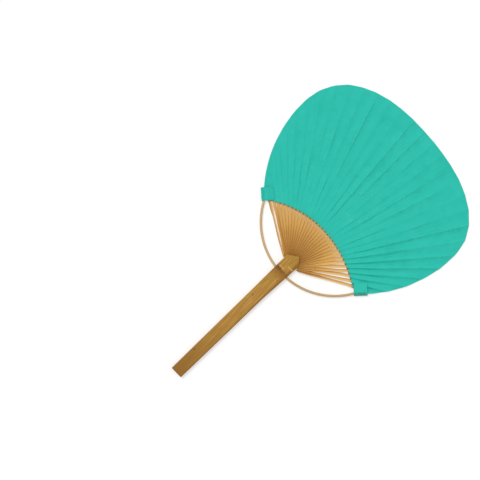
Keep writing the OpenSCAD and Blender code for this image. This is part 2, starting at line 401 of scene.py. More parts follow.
    def sway(self, index: int, radius: float) -> float:
        """Finds how far a bare rib bends from its line, before the paper holds it in its place.

        Args:
            index: Number of the rib, from the left.
            radius: Distance from the centre of the ribs.

        Returns:
            The distance, which is positive to the right.
        """
        start = self.bare_end(self.rib_place(index))
        sway = self.own(self.sways, index) * smooth(*self.sway_span, radius)
        sway *= 1.0 - smooth(start - self.sway_fade, start, radius)
        return sway + self.own(self.flares, index) * (1.0 - smooth(self.flare_start, start, radius))

    @cached_property
    def tab_lift(self) -> float:
        """Height of the sheets over the underside of a corner tab."""
        return self.tab_thickness + self.glue

    def lift(self, place: float) -> float:
        """Returns how far the rib at a place is raised by the corner tabs."""
        return self.tab_lift * smooth(*self.lift_span, abs(place))

    def laid_height(self, place: float, tilt: float) -> float:
        """Returns the height of a rib's middle when it lies on the back sheet at a tilt."""
        half = (self.rib_depth * math.sin(tilt) + self.rib_thickness * math.cos(tilt)) / 2.0
        return half + self.glue + self.paper + self.lift(place)

    def rib_height(self, place: float, radius: float) -> float:
        """Returns the height of a rib's middle between the head and the paper."""
        laid = self.laid_height(place, self.leaf_tilt(place))
        return blend(self.root_z, laid, smooth(self.head_y, self.bare_end(place), radius))

    @cached_property
    def bow_end(self) -> Vector:
        """Place where the bow comes to the corner of the leaf."""
        return self.on_bow(self.bow_sweep)

    def on_bow(self, sweep: float) -> Vector:
        """Returns the point of the bow at an angle of its arc, from the leaf's middle line."""
        arm = Vector((math.sin(sweep), 1.0 - math.cos(sweep))) * self.bow_radius
        return arm - Vector((0.0, self.bow_back))

    @cached_property
    def bow_reach(self) -> float:
        """Angle of the bow's arc from its middle to its tip, which is hidden in the corner of the leaf.

        Returns:
            The angle.
        """
        end = self.bow_end
        room = (end.x - self.leaf_shift) * math.cos(self.rib_spread) - end.y * math.sin(self.rib_spread)
        room -= (self.rib_depth + self.bow_diameter) / 2.0 + self.bow_rib_gap
        return self.bow_sweep - room / math.cos(self.rib_spread + self.bow_sweep) / self.bow_radius

    @cached_property
    def bow_dip(self) -> float:
        """Angle by which the bow's plane falls from the head to the corners of the leaf.

        Returns:
            The angle.
        """
        tip_z = self.tab_lift + self.paper + self.bow_fit + self.bow_diameter / 2.0
        run = self.on_bow(self.bow_reach).y + self.bow_back
        return math.asin((self.slat_thickness / 2.0 - tip_z) / run)

    @cached_property
    def corner(self) -> Vector:
        """Corner of the leaf, as if both were on the right, from the leaf's middle line."""
        return self.bow_end + Vector(self.corner_step)

    def fold_direction(self, side: float) -> Vector:
        """Returns the direction of a tab's fold, as if it were on the right."""
        angle = self.bow_sweep - (self.left_toe if side < 0.0 else self.right_toe)
        return Vector((math.cos(angle), math.sin(angle)))

    def fold_outward(self, side: float) -> Vector:
        """Returns the direction from the leaf across a tab's fold, as if it were on the right."""
        along = self.fold_direction(side)
        return Vector((along.y, -along.x))

    def from_corner(self, point: Vector) -> Vector:
        """Returns a point's place from its corner of the leaf, as if it were on the right."""
        return Vector((abs(point.x - self.leaf_shift), point.y)) - self.corner

    def along_fold(self, point: Vector) -> float:
        """Returns how far a point lies from the corner along the fold of its tab."""
        return self.from_corner(point) @ self.fold_direction(point.x)

    def past_fold(self, point: Vector) -> float:
        """Returns how far a point lies outside the fold of its tab, which is negative on the leaf."""
        return self.from_corner(point) @ self.fold_outward(point.x)

    def plateau(self, side: float) -> float:
        """Returns the distance from a fold up to which the tab lies level over the bow's end, below zero."""
        tip = (self.on_bow(self.bow_reach) - self.corner) @ self.fold_outward(side)
        return tip - self.bow_diameter / 2.0 - self.bow_fit

    @cached_property
    def pocket_top(self) -> float:
        """Height of the front sheet's outer face over the end of the bow.

        Returns:
            The height.
        """
        rise = (self.bow_end.y + self.bow_back) * math.sin(self.bow_dip)
        middle = self.slat_thickness / 2.0 - rise
        return middle + self.bow_diameter / 2.0 + self.bow_fit + self.paper

    @cached_property
    def tab_height(self) -> float:
        """Height of a corner tab at its fold."""
        return self.pocket_top + self.tab_lift

    def tab_end(self, side: float) -> float:
        """Finds where a tab's free end lies on the leaf.

        Args:
            side: -1 for the left side and 1 for the right one.

        Returns:
            The height of its underside.
        """
        tilt = self.leaf_tilt(side)
        ridge = self.laid_height(side, tilt) + self.rib_depth / 2.0 * math.sin(tilt)
        return ridge + self.rib_thickness / 2.0 * math.cos(tilt) + 2.0 * self.glue + self.paper

    def tab_z(self, side: float, past: float) -> float:
        """Returns the height of the underside of a tab's front at a distance from its fold.

        Args:
            side: -1 for the left tab and 1 for the right one.
            past: Distance outside the fold, which is negative on the leaf.

        Returns:
            The height over the surface that the fan lies on.
        """
        plateau = self.plateau(side)
        share = (past - plateau) / (-self.tab_reach - plateau)
        level = self.pocket_top + self.glue
        return level + (self.tab_end(side) - self.pocket_top) * min(1.0, max(0.0, share))

    def pocket_z(self, point: Vector, face: Face) -> float:
        """Returns the height of a sheet's inner face in the pocket round the end of the bow.

        Args:
            point: Place, seen from above.
            face: Which sheet it is.

        Returns:
            The height over the surface that the fan lies on.
        """
        side = math.copysign(1.0, point.x)
        far = self.tab_from + self.tab_length
        near = self.tab_from + self.tab_length * self.pocket_share
        share = smooth(0.0, 1.0, (far - self.along_fold(point)) / (far - near))
        if face is Face.FRONT:
            wall = self.tab_z(side, self.past_fold(point)) - self.glue - self.paper
        else:
            wall = self.tab_lift + self.paper
        shut = self.laid_height(side, self.leaf_tilt(side)) + face.value * self.glue
        return blend(shut, wall, share)

    @cached_property
    def inner_arc(self) -> tuple[float, float]:
        """Arc of the leaf's inner edge.

        Returns:
            Its radius, and the Y of its centre.
        """
        drop = self.leaf_start - self.corner.y
        radius = (self.corner.x**2 + drop**2) / (2.0 * drop)
        return radius, self.leaf_start - radius

    def inner_radius(self, angle: float) -> float:
        """Finds the leaf's inner edge at an angle.

        Args:
            angle: Angle from the middle line of the fan.

        Returns:
            Its distance from the centre of the ribs.
        """
        radius, centre = self.inner_arc
        near = self.leaf_shift * math.sin(angle) + centre * math.cos(angle)
        return near + math.sqrt(near * near + radius * radius - centre * centre - self.leaf_shift**2)

    def cut_radius(self, angle: float) -> float:
        """Finds the hand-cut inner edge at an angle. It lies further out than its arc on the left.

        Args:
            angle: Angle from the middle line of the fan.

        Returns:
            Its distance from the centre of the ribs.
        """
        radius = self.inner_radius(angle)
        x = radius * math.sin(angle)
        off = math.sin(min(1.0, max(-1.0, x / self.skew_reach)) * math.pi / 2.0)
        off *= 1.0 - smooth(*self.skew_fade, abs(x))
        return radius - self.edge_skew * off

    def is_outside(self, x: float, y: float) -> bool:
        """Tells whether a point lies outside the oval of the leaf.

        Args:
            x: Place across the fan.
            y: Place along the fan.

        Returns:
            True where it does.
        """
        out = (x - self.leaf_shift) / (self.leaf_width / 2.0)
        if y > self.widest_y:
            height, power = self.crown_height - self.shoulder_lean * out, self.crown_power
        else:
            height, power = self.side_height, self.side_power
        return abs(out) ** power + (abs(y - self.widest_y) / height) ** power > 1.0

    def rim_radius(self, angle: float) -> float:
        """Finds the leaf's rim at an angle, up to the fold of a corner tab.

        Args:
            angle: Angle from the middle line of the fan.

        Returns:
            Its distance from the centre of the ribs.
        """
        low, high = self.rim_search
        while high - low > self.rim_accuracy:
            middle = (low + high) / 2.0
            if self.is_outside(middle * math.sin(angle), middle * math.cos(angle)):
                high = middle
            else:
                low = middle
        outward = self.fold_outward(angle)
        slant = math.sin(abs(angle)) * outward.x + math.cos(angle) * outward.y
        if slant > self.least_slant:
            shift = math.copysign(self.leaf_shift, angle) * outward.x
            return min(low, (self.corner @ outward + shift) / slant)
        return low

    def last_angle(self, side: float) -> float:
        """Returns the angle of the leaf's corner on a side, above zero on both."""
        return math.atan2(self.corner.x + side * self.leaf_shift, self.corner.y) - self.corner_gap

    def laid_tilt(self, index: int, radius: float) -> float:
        """Returns the tilt of a rib under the paper, which wanders a little from rib to rib and along each.

        Args:
            index: Number of the rib, from the left.
            radius: Distance from the centre of the ribs.

        Returns:
            The tilt.
        """
        place = self.rib_place(index)
        start = self.inner_radius(self.rib_angle(place))
        calm = 1.0 - self.steepness(place)
        wander = self.tilt_wander.at(radius, index) + self.tilt_ripple.at(radius, index)
        wander -= self.calm_drop * calm
        share = 1.0 + wander * smooth(start, start + self.wander_run, radius)
        settled = calm * smooth(start + self.flat_span[0], start + self.flat_span[1], radius)
        flat = 1.0 - settled * (self.flatness - self.crease_hold * self.crease(index, radius))
        least, most = self.tilt_limits
        return self.leaf_tilt(place) * flat * min(most, max(least, share))

    def crease(self, index: int, radius: float) -> float:
        """Returns how sharply the paper is creased beside a rib, from 0 to 1, in stretches along it.

        Args:
            index: Number of the rib, from the left.
            radius: Distance from the centre of the ribs.

        Returns:
            The sharpness, which is high for all ribs on the right.
        """
        own = 0.0
        for rib, low, high, depth in self.creases:
            if rib == index:
                risen = smooth(low - self.crease_outside, low + self.crease_inside, radius)
                fallen = smooth(high - self.crease_inside, high + self.crease_outside, radius)
                own = max(own, depth * (risen * (1.0 - fallen)))
        steep = self.steepness(self.rib_place(index))
        broken = sum(wander.at(radius, index) for wander in self.crease_breaks)
        sharpness = max(own, self.steep_crease * steep) + broken * blend(self.break_share, 1.0, own)
        return min(1.0, max(0.0, sharpness))

    def rib_width(self, index: int, radius: float) -> float:
        """Finds the depth of a rib. It is split a little wider where it shows, but not where it stands open.

        Args:
            index: Number of the rib, from the left.
            radius: Distance from the centre of the ribs.

        Returns:
            The depth of its broad face.
        """
        if self.own(self.open_tilts, index) > self.standing_tilt:
            return self.rib_depth
        start = self.inner_radius(self.angle_of(index))
        covered = smooth(start + self.wide_fade[0], start + self.wide_fade[1], radius)
        shown = smooth(*self.wide_span, radius) * (1.0 - covered)
        return self.rib_depth + self.wide_split * shown

    def press(self, index: int, radius: float) -> float:
        """Finds how closely the sheets follow a rib.

        Args:
            index: Number of the rib, from the left.
            radius: Distance from the centre of the ribs.

        Returns:
            A share from 0, taut over its high edge, to 1, pressed flat on it.
        """
        open_room = smooth(*self.press_span, radius * self.rib_step(index) - self.rib_depth)
        pressed = open_room * (self.press_share + self.press_wander.at(radius, index))
        return min(1.0, max(0.0, pressed + self.steep_press * self.steepness(self.rib_place(index))))

    def rib_pose(self, index: int, radius: float) -> tuple[float, float]:
        """Finds how a rib lies at a radius.

        Args:
            index: Number of the rib, from the left.
            radius: Distance from the centre of the ribs.

        Returns:
            Its tilt, and the height of its middle.
        """
        place = self.rib_place(index)
        if radius < self.bare_end(place):
            tilt = self.rib_tilt(index, radius)
            rise = self.rib_width(index, radius) * math.sin(tilt) + self.rib_thickness * math.cos(tilt)
            return tilt, max(self.rib_height(place, radius), rise / 2.0 + self.paper + self.glue)
        tilt = self.laid_tilt(index, radius)
        return tilt, self.laid_height(place, tilt)

    def rib_tip(self, angle: float) -> float:
        """Returns the distance at which a rib ends, just inside the rim."""
        step = math.asin(self.rib_depth / 2.0 / self.leaf_start)
        return min(self.rim_radius(angle + turn) for turn in (-step, 0.0, step)) - self.tip_back


def polar(radius: float, angle: float) -> Vector:
    """Returns the point at a distance and an angle from the centre of the ribs, seen from above."""
    return Vector((radius * math.sin(angle), radius * math.cos(angle)))


def mesh_of(name: str, source: bmesh.types.BMesh) -> bpy.types.Mesh:
    """Turns a mesh in the making into one of the scene's, and frees it.

    Args:
        name: Name for the mesh.
        source: The mesh in the making.

    Returns:
        The mesh.
    """
    data = bpy.data.meshes.new(name)
    source.to_mesh(data)
    source.free()
    return data


def add_object(name: str, data: bpy.types.ID) -> bpy.types.Object:
    """Adds an object to the scene.

    Args:
        name: Name for the object.
        data: Its mesh, lamp or camera.

    Returns:
        The object.
    """
    made = bpy.data.objects.new(name, data)
    bpy.context.scene.collection.objects.link(made)
    return made


class Field:
    """A value that varies over a surface: an output socket that can be used in arithmetic."""

    def __init__(self, recipe: "Recipe", socket: bpy.types.NodeSocket) -> None:
        """Wraps a socket of a recipe's nodes."""
        self.recipe = recipe
        self.socket = socket

    def _math(self, operation: str, first: "Field | float", second: "Field | float" = 0.0) -> "Field":
        """Adds a Math node and returns its result."""
        return self.recipe.node("Math", {"operation": operation}, {0: first, 1: second})

    def __add__(self, other: "Field | float") -> "Field":
        """Adds."""
        return self._math("ADD", self, other)

    __radd__ = __add__

    def __sub__(self, other: "Field | float") -> "Field":
        """Subtracts."""
        return self._math("SUBTRACT", self, other)

    def __rsub__(self, other: "Field | float") -> "Field":
        """Subtracts from a number."""
        return self._math("SUBTRACT", other, self)

    def __mul__(self, other: "Field | float") -> "Field":
        """Multiplies."""
        return self._math("MULTIPLY", self, other)

    __rmul__ = __mul__

    def __truediv__(self, other: "Field | float") -> "Field":
        """Divides."""
        return self._math("DIVIDE", self, other)

    def __pow__(self, other: "Field | float") -> "Field":
        """Raises to a power."""
        return self._math("POWER", self, other)

    def __abs__(self) -> "Field":
        """Drops the sign."""
        return self._math("ABSOLUTE", self)

    def atan2(self, other: "Field") -> "Field":
        """Returns the angle of the point that has this value above and the other to the right."""
        return self._math("ARCTAN2", self, other)

    def above(self, low: float, high: float) -> "Field":
        """Steps smoothly from 0 to 1.

        Args:
            low: Value that gives 0, which is above high for a step down.
            high: Value that gives 1.

        Returns:
            A share from 0 to 1.
        """
        inputs = {"Value": self, "From Min": low, "From Max": high}
        return self.recipe.node("MapRange", {"interpolation_type": "SMOOTHSTEP"}, inputs)

    def near(self, centre: float, reach: float) -> "Field":
        """Returns 1 at the centre, and 0 from a distance of reach on."""
        return 1.0 - abs(self - centre).above(0.0, reach)


def apart(x: Field, y: Field, centre: Span) -> Field:
    """Returns the distance of a point from a centre."""
    away_x, away_y = x - centre[0], y - centre[1]
    return (away_x * away_x + away_y * away_y) ** 0.5


Colour = tuple[float, float, float]
Step = tuple[float, float, float]


def paint(red: int, green: int, blue: int) -> Colour:
    """Turns a colour as seen on a screen, from 0 to 255, into the linear colour of a shader."""
    shares = (value / 255.0 for value in (red, green, blue))
    return tuple(share / 12.92 if share <= 0.04045 else ((share + 0.055) / 1.055) ** 2.4 for share in shares)


class Recipe:
    """The nodes of one material."""

    def __init__(self, name: str) -> None:
        """Starts an empty material.

        Args:
            name: Name for the material.
        """
        self.material = bpy.data.materials.new(name)
        self.material.use_nodes = True
        self.tree = self.material.node_tree
        self.tree.nodes.clear()

    def add(
        self,
        kind: str,
        settings: dict[str, object] | None = None,
        inputs: dict[str | int, object] | None = None,
    ) -> bpy.types.Node:
        """Adds a node.

        Args:
            kind: Type of the node, without the words ShaderNode.
            settings: Properties of the node, set before its sockets.
            inputs: Numbers, colours or fields for its sockets.

        Returns:
            The node.
        """
        made = self.tree.nodes.new("ShaderNode" + kind)
        for name, value in (settings or {}).items():
            setattr(made, name, value)
        for key, value in (inputs or {}).items():
            socket = made.inputs[key]
            if isinstance(value, Field):
                self.tree.links.new(value.socket, socket)
            elif isinstance(value, tuple) and len(value) == 3 and socket.type == "RGBA":
                socket.default_value = (*value, 1.0)
            else:
                socket.default_value = value
        return made

    def node(
        self,
        kind: str,
        settings: dict[str, object] | None = None,
        inputs: dict[str | int, object] | None = None,
        output: str | int = 0,
    ) -> Field:
        """Adds a node and returns the field at one of its outputs."""
        return Field(self, self.add(kind, settings, inputs).outputs[output])

    def place(self) -> tuple[Field, Field, Field]:
        """Returns the three coordinates of a point of the piece, in millimetres."""
        point = self.node("TexCoord", output="Object")
        return tuple(self.node("SeparateXYZ", inputs={0: point}, output=axis) / MM for axis in "XYZ")

    def attribute(self, name: str) -> Field:
        """Reads a number that the mesh keeps at each point."""
        return self.node("Attribute", {"attribute_name": name}, output="Fac")

    def grain(self, x: Field, y: Field, z: "Field | float", detail: float) -> Field:
        """Reads noise at a point.

        Args:
            x: First place in the pattern.
            y: Second place in the pattern.
            z: Third place in the pattern, or a number that picks a pattern.
            detail: Number of finer layers of noise.

        Returns:
            The noise, whose waves are one unit long, from 0 to 1.
        """
        point = self.node("CombineXYZ", inputs={0: x, 1: y, 2: z})
        inputs = {"Vector": point, "Scale": 1.0, "Detail": detail, "Roughness": 0.6}
        return self.node("TexNoise", inputs=inputs)

    def mix(self, first: "Field | Colour", second: "Field | Colour", share: "Field | float") -> Field:
        """Mixes two colours by a share of the second."""
        return self.node("Mix", {"data_type": "RGBA"}, {0: share, 6: first, 7: second}, 2)

    def dab(self, first: "Field | Colour", second: Colour, field: Field, step: Step) -> Field:
        """Mixes a second colour in where a field has passed a step.

        Args:
            first: The colour so far.
            second: The colour to mix in.
            field: The field that is stepped.
            step: The field's values where the second colour starts and is full, and its share there.

        Returns:
            The mixed colour.
        """
        return self.mix(first, second, field.above(*step[:2]) * step[2])

    def surface(
        self,
        colour: Field,
        roughness: Field,
        height: Field,
        relief: float,
        shine: float,
    ) -> bpy.types.Material:
        """Ends the recipe with an opaque surface.

        Args:
            colour: Base colour.
            roughness: Roughness.
            height: Relief from 0 to 1.
            relief: How high the relief is, in millimetres.
            shine: Strength of the specular reflection, from 0 to 1.

        Returns:
            The material.
        """
        normal = self.node("Bump", inputs={"Height": height, "Distance": relief * MM, "Strength": 1.0})
        inputs = {"Base Color": colour, "Roughness": roughness, "Normal": normal}
        inputs["Specular IOR Level"] = shine
        shader = self.node("BsdfPrincipled", inputs=inputs)
        self.add("OutputMaterial", inputs={"Surface": shader})
        return self.material


@dataclass(frozen=True)
class PaperFinish:
    """Matt dyed paper, softly clouded, with short fibres, with worn dye on the rim and in specks, with
    painted shade in the creases, along the cut edge and on the right of the rim, and with worn dye and
    painted highlight on the ridges over the ribs.
    """

    name: str
    dye: Colour = paint(43, 189, 171)
    deep: Colour = paint(33, 175, 157)
    pale: Colour = paint(54, 196, 180)
    # Lighter tint for worn dye on the rim and in specks, also used for painted highlight on the ridges.
    worn_and_highlight: Colour = paint(80, 209, 191)
    # Painted shade colours: teal in creases, folds and on the rim's right; olive along cut edges and by the
    # right tab's fold.
    teal_shade: Colour = paint(28, 148, 133)
    olive_shade: Colour = paint(92, 104, 56)
    cloud_size: Span = (24.0, 24.0)
    mottle_size: Span = (7.0, 9.0)
    patch_size: Span = (9.0, 13.0)
    speck_size: Span = (1.7, 2.3)
    tuft_size: Span = (1.6, 1.6)
    fleck_size: Span = (0.9, 1.3)
    fibre_size: float = 0.35
    pale_cloud: Step = (0.5, 0.8, 0.5)
    deep_cloud: Step = (0.5, 0.2, 0.5)
    deep_mottle: Step = (0.54, 0.72, 0.35)
    pale_mottle: Step = (0.46, 0.28, 0.35)
    deep_streak: Step = (0.52, 0.75, 0.25)
    pale_fibre: Step = (0.55, 0.8, 0.3)
    fleck_span: Span = (0.5, 0.62)
    patch_span: Span = (0.4, 0.6)
    break_span: Span = (0.3, 0.6)
    string_span: Span = (0.5, 0.6)
    speck_span: Span = (0.54, 0.66)
    worn_span: Span = (0.35, 0.7)
    valley_shade_share: float = 0.75
    ridge_wear_and_highlight_share: float = 0.8
    speck_share: float = 0.6
    shade_share: float = 0.5
    worn_share: float = 0.3
    right_rim_shade: Step = (30.0, 90.0, 0.55)
    handled_radius: Span = (88.0, 42.0)
    handled_angle: Span = (0.12, 0.42)
    roughness: float = 0.8
    rough_play: float = 0.12
    relief: float = 0.05
    shine: float = 0.2
    seed: float = 0.0

    def make(self) -> bpy.types.Material:
        """Makes the material.

        Returns:
            The material.
        """
        recipe = Recipe(self.name)
        x, y, z = recipe.place()
        angle = x.atan2(y)
        radius = (x * x + y * y) ** 0.5

        def blotch(size: Span, pattern: float, detail: float) -> Field:
            """Reads noise in blotches of a width and a length."""
            return recipe.grain(x / size[0], y / size[1], self.seed + pattern, detail)

        def ray(pace: float, length: float, pattern: float, detail: float) -> Field:
            """Reads noise in streaks from the centre, of a number to the radian and a length."""
            return recipe.grain(angle * pace, radius / length, self.seed + pattern, detail)

        cloud = blotch(self.cloud_size, 0.0, 4.0)
        tuft = blotch(self.tuft_size, 8.0, 4.0)
        streak = ray(70.0, 26.0, 3.0, 3.0)
        fibre = recipe.grain(x / self.fibre_size, y / self.fibre_size, z / self.fibre_size, 3.0)
        mottle = blotch(self.mottle_size, 13.0, 3.0)
        dyed = recipe.dab(self.dye, self.pale, cloud, self.pale_cloud)
        dyed = recipe.dab(dyed, self.deep, cloud, self.deep_cloud)
        dyed = recipe.dab(dyed, self.deep, mottle, self.deep_mottle)
        dyed = recipe.dab(dyed, self.pale, mottle, self.pale_mottle)
        dyed = recipe.dab(dyed, self.deep, streak, self.deep_streak)
        dyed = recipe.dab(dyed, self.pale, fibre, self.pale_fibre)
        broken = ray(40.0, 2.2, 9.0, 3.0).above(*self.break_span)
        # Painted shade in the creases and along the tabs' folds, broken up along them.
        dyed = recipe.mix(dyed, self.teal_shade, recipe.attribute("valley") * broken * self.valley_shade_share)
        fleck = blotch(self.fleck_size, 5.0, 2.0).above(*self.fleck_span)
        fleck *= blotch(self.patch_size, 7.0, 2.0).above(*self.patch_span)
        # Worn dye and painted highlight on the ridges beside the creases.
        dyed = recipe.mix(dyed, self.worn_and_highlight, recipe.attribute("ridge") * fleck * self.ridge_wear_and_highlight_share)
        handled = radius.near(*self.handled_radius) * angle.near(*self.handled_angle)
        string = ray(45.0, 14.0, 15.0, 1.0).above(*self.string_span)
        speck = blotch(self.speck_size, 11.0, 1.0).above(*self.speck_span) * string
        dyed = recipe.mix(dyed, self.worn_and_highlight, speck * handled * self.speck_share)
        # Olive painted shade along the cut edge over the ribs and by the right tab's fold.
        dyed = recipe.mix(dyed, self.olive_shade, recipe.attribute("shade") * self.shade_share)
        rim = recipe.attribute("rim")
        dyed = recipe.mix(dyed, self.worn_and_highlight, rim * tuft.above(*self.worn_span) * self.worn_share)
        # Painted shade along the rim towards the right.
        start, full, share = self.right_rim_shade
        dyed = recipe.mix(dyed, self.teal_shade, rim * x.above(start, full) * share)
        rough = self.roughness + fibre * self.rough_play
        return recipe.surface(dyed, rough, fibre * 0.6 + tuft * 0.4, self.relief, self.shine)


@dataclass(frozen=True)
class BambooFinish:
    """Bamboo with long fine fibres, each rib or face of its own tone."""

    name: str
    light: Colour
    middle: Colour
    dark: Colour
    line: Colour = paint(112, 74, 30)
    fibre_pitch: float = 0.3
    fibre_length: float = 26.0
    pore_length: float = 2.4
    pore_pitch: float = 0.14
    light_fibre: Step = (0.5, 0.85, 0.7)
    dark_fibre: Step = (0.5, 0.15, 0.6)
    dark_vein: Step = (0.55, 0.8, 0.5)
    light_tone: Step = (0.5, 1.0, 0.6)
    dark_tone: Step = (0.5, 0.0, 0.4)
    pore_line: Step = (0.7, 0.8, 0.35)
    roughness: float = 0.5
    rough_play: float = 0.15
    relief: float = 0.03
    shine: float = 0.25

    def base(self, recipe: Recipe) -> tuple[Field, Field]:
        """Lays out the wood's colour and fibres.

        Args:
            recipe: The material's nodes.

        Returns:
            The colour, and the relief of the fibres.
        """
        along, across = recipe.attribute("along"), recipe.attribute("across")
        tone = recipe.attribute("tone")
        fibre = recipe.grain(along / self.fibre_length, across / self.fibre_pitch, tone * 40.0, 3.0)
        vein_length, vein_pitch = self.fibre_length * 2.5, self.fibre_pitch * 4.0
        vein = recipe.grain(along / vein_length, across / vein_pitch, tone * 17.0, 2.0)
        colour = recipe.dab(self.middle, self.light, fibre, self.light_fibre)
        colour = recipe.dab(colour, self.dark, fibre, self.dark_fibre)
        colour = recipe.dab(colour, self.dark, vein, self.dark_vein)
        colour = recipe.dab(colour, self.light, tone, self.light_tone)
        colour = recipe.dab(colour, self.dark, tone, self.dark_tone)
        pore = recipe.grain(along / self.pore_length, across / self.pore_pitch, tone * 23.0, 1.0)
        return recipe.dab(colour, self.line, pore, self.pore_line), fibre * 0.8 + vein * 0.2

    def tint(self, recipe: Recipe, colour: Field) -> Field:
        """Adds what is special to a finish.

        Args:
            recipe: The material's nodes.
            colour: The wood's colour.

        Returns:
            The colour with its stains and marks.
        """
        return colour

    def make(self) -> bpy.types.Material:
        """Makes the material.

        Returns:
            The material.
        """
        recipe = Recipe(self.name)
        colour, fibre = self.base(recipe)
        rough = self.roughness + fibre * self.rough_play
        return recipe.surface(self.tint(recipe, colour), rough, fibre, self.relief, self.shine)


@dataclass(frozen=True)
class HandleFinish(BambooFinish):
    """Planed bamboo with a handled butt, a dark node below the head with painted highlight lines above it,
    painted shade along the right edge, and a few specks.
    """

    butt: Colour = paint(142, 98, 30)
    streak: Colour = paint(200, 158, 78)
    ruddy: Colour = paint(184, 126, 66)
    olive: Colour = paint(160, 124, 40)
    # Painted shade colour for the right edge.
    edge: Colour = paint(128, 84, 24)
    node: Colour = paint(104, 62, 8)
    # Painted highlight colour for the lines along the node's ridge.
    node_highlight: Colour = paint(206, 166, 92)
    speck: Colour = paint(84, 52, 22)
    relief: float = 0.04
    light_streak: Step = (0.5, 0.66, 0.75)
    dark_streak: Step = (0.5, 0.34, 0.75)
    ruddy_blotch: Step = (0.5, 0.68, 0.6)
    olive_blotch: Step = (0.48, 0.32, 0.6)
    middle_x: float = -0.9
    half_width: float = 7.0
    right_edge_shade: Step = (0.66, 0.86, 0.7)
    left_edge: Step = (-0.7, -0.92, 0.5)
    butt_span: Span = (-30.0, -165.0)
    node_y: float = -7.8
    node_waver: float = 2.4
    node_shade_reach: float = 10.0
    node_reach: float = 3.4
    node_line_reach: float = 1.3
    highlight_line_size: Span = (4.5, 1.2)
    highlight_lines: tuple[tuple[float, float], ...] = ((-5.0, -3.6), (-0.2, 3.4))
    speck_places: tuple[tuple[float, float, float], ...] = (
        (-4.2, -44.7, 0.9),
        (-5.5, -124.7, 1.0),
        (-1.6, -16.2, 0.6),
        (2.4, -17.8, 0.6),
        (5.6, -58.0, 0.4),
        (3.1, -96.0, 0.35),
    )

    def tint(self, recipe: Recipe, colour: Field) -> Field:
        """Adds the streaks, the painted shade along the right edge, the darker left edge and butt, the node
        with its painted highlight lines, and the specks.

        Args:
            recipe: The material's nodes.
            colour: The wood's colour.

        Returns:
            The colour with its marks.
        """
        x, y, _ = recipe.place()
        wander = recipe.grain(x / 3.0, y / 5.0, 2.0, 3.0) - 0.5
        streak = recipe.grain(x / 1.6, y / 30.0, 6.0, 3.0)
        colour = recipe.dab(colour, self.streak, streak, self.light_streak)
        colour = recipe.dab(colour, self.dark, streak, self.dark_streak)
        warm = recipe.grain(x / 5.0, y / 16.0, 12.0, 4.0)
        colour = recipe.dab(colour, self.ruddy, warm, self.ruddy_blotch)
        colour = recipe.dab(colour, self.olive, warm, self.olive_blotch)
        off = (x - self.middle_x + wander) / self.half_width
        # Painted shade along the right edge, which turns away from the light.
        colour = recipe.dab(colour, self.edge, off, self.right_edge_shade)
        colour = recipe.dab(colour, self.olive, off, self.left_edge)
        colour = recipe.mix(colour, self.butt, y.above(*self.butt_span) ** 2.0)
        level = y + wander * self.node_waver
        shade = level.near(self.node_y - 3.0, self.node_shade_reach)
        colour = recipe.mix(colour, self.dark, shade * 0.9)
        blot = recipe.grain(x / 1.8, y / 1.2, 18.0, 3.0).above(0.3, 0.6)
        broad = level.near(self.node_y - 0.6, self.node_reach) * blot
        colour = recipe.mix(colour, self.node, broad * (0.65 - x * 0.05))
        narrow = level.near(self.node_y + 0.3, self.node_line_reach)
        colour = recipe.mix(colour, self.node, narrow * (0.4 - x * 0.04))
        # Painted highlight lines just above the node.
        line_length, line_width = self.highlight_line_size
        for line_y, line_x in self.highlight_lines:
            line = level.near(line_y, line_width) * x.near(line_x, line_length).above(0.0, 0.4)
            colour = recipe.mix(colour, self.node_highlight, line * 0.8)
        for speck_x, speck_y, size in self.speck_places:
            away = apart(x, y, (speck_x, speck_y)) + wander
            colour = recipe.mix(colour, self.speck, away.above(size * 1.4, size * 0.3) * 0.75)
        return colour


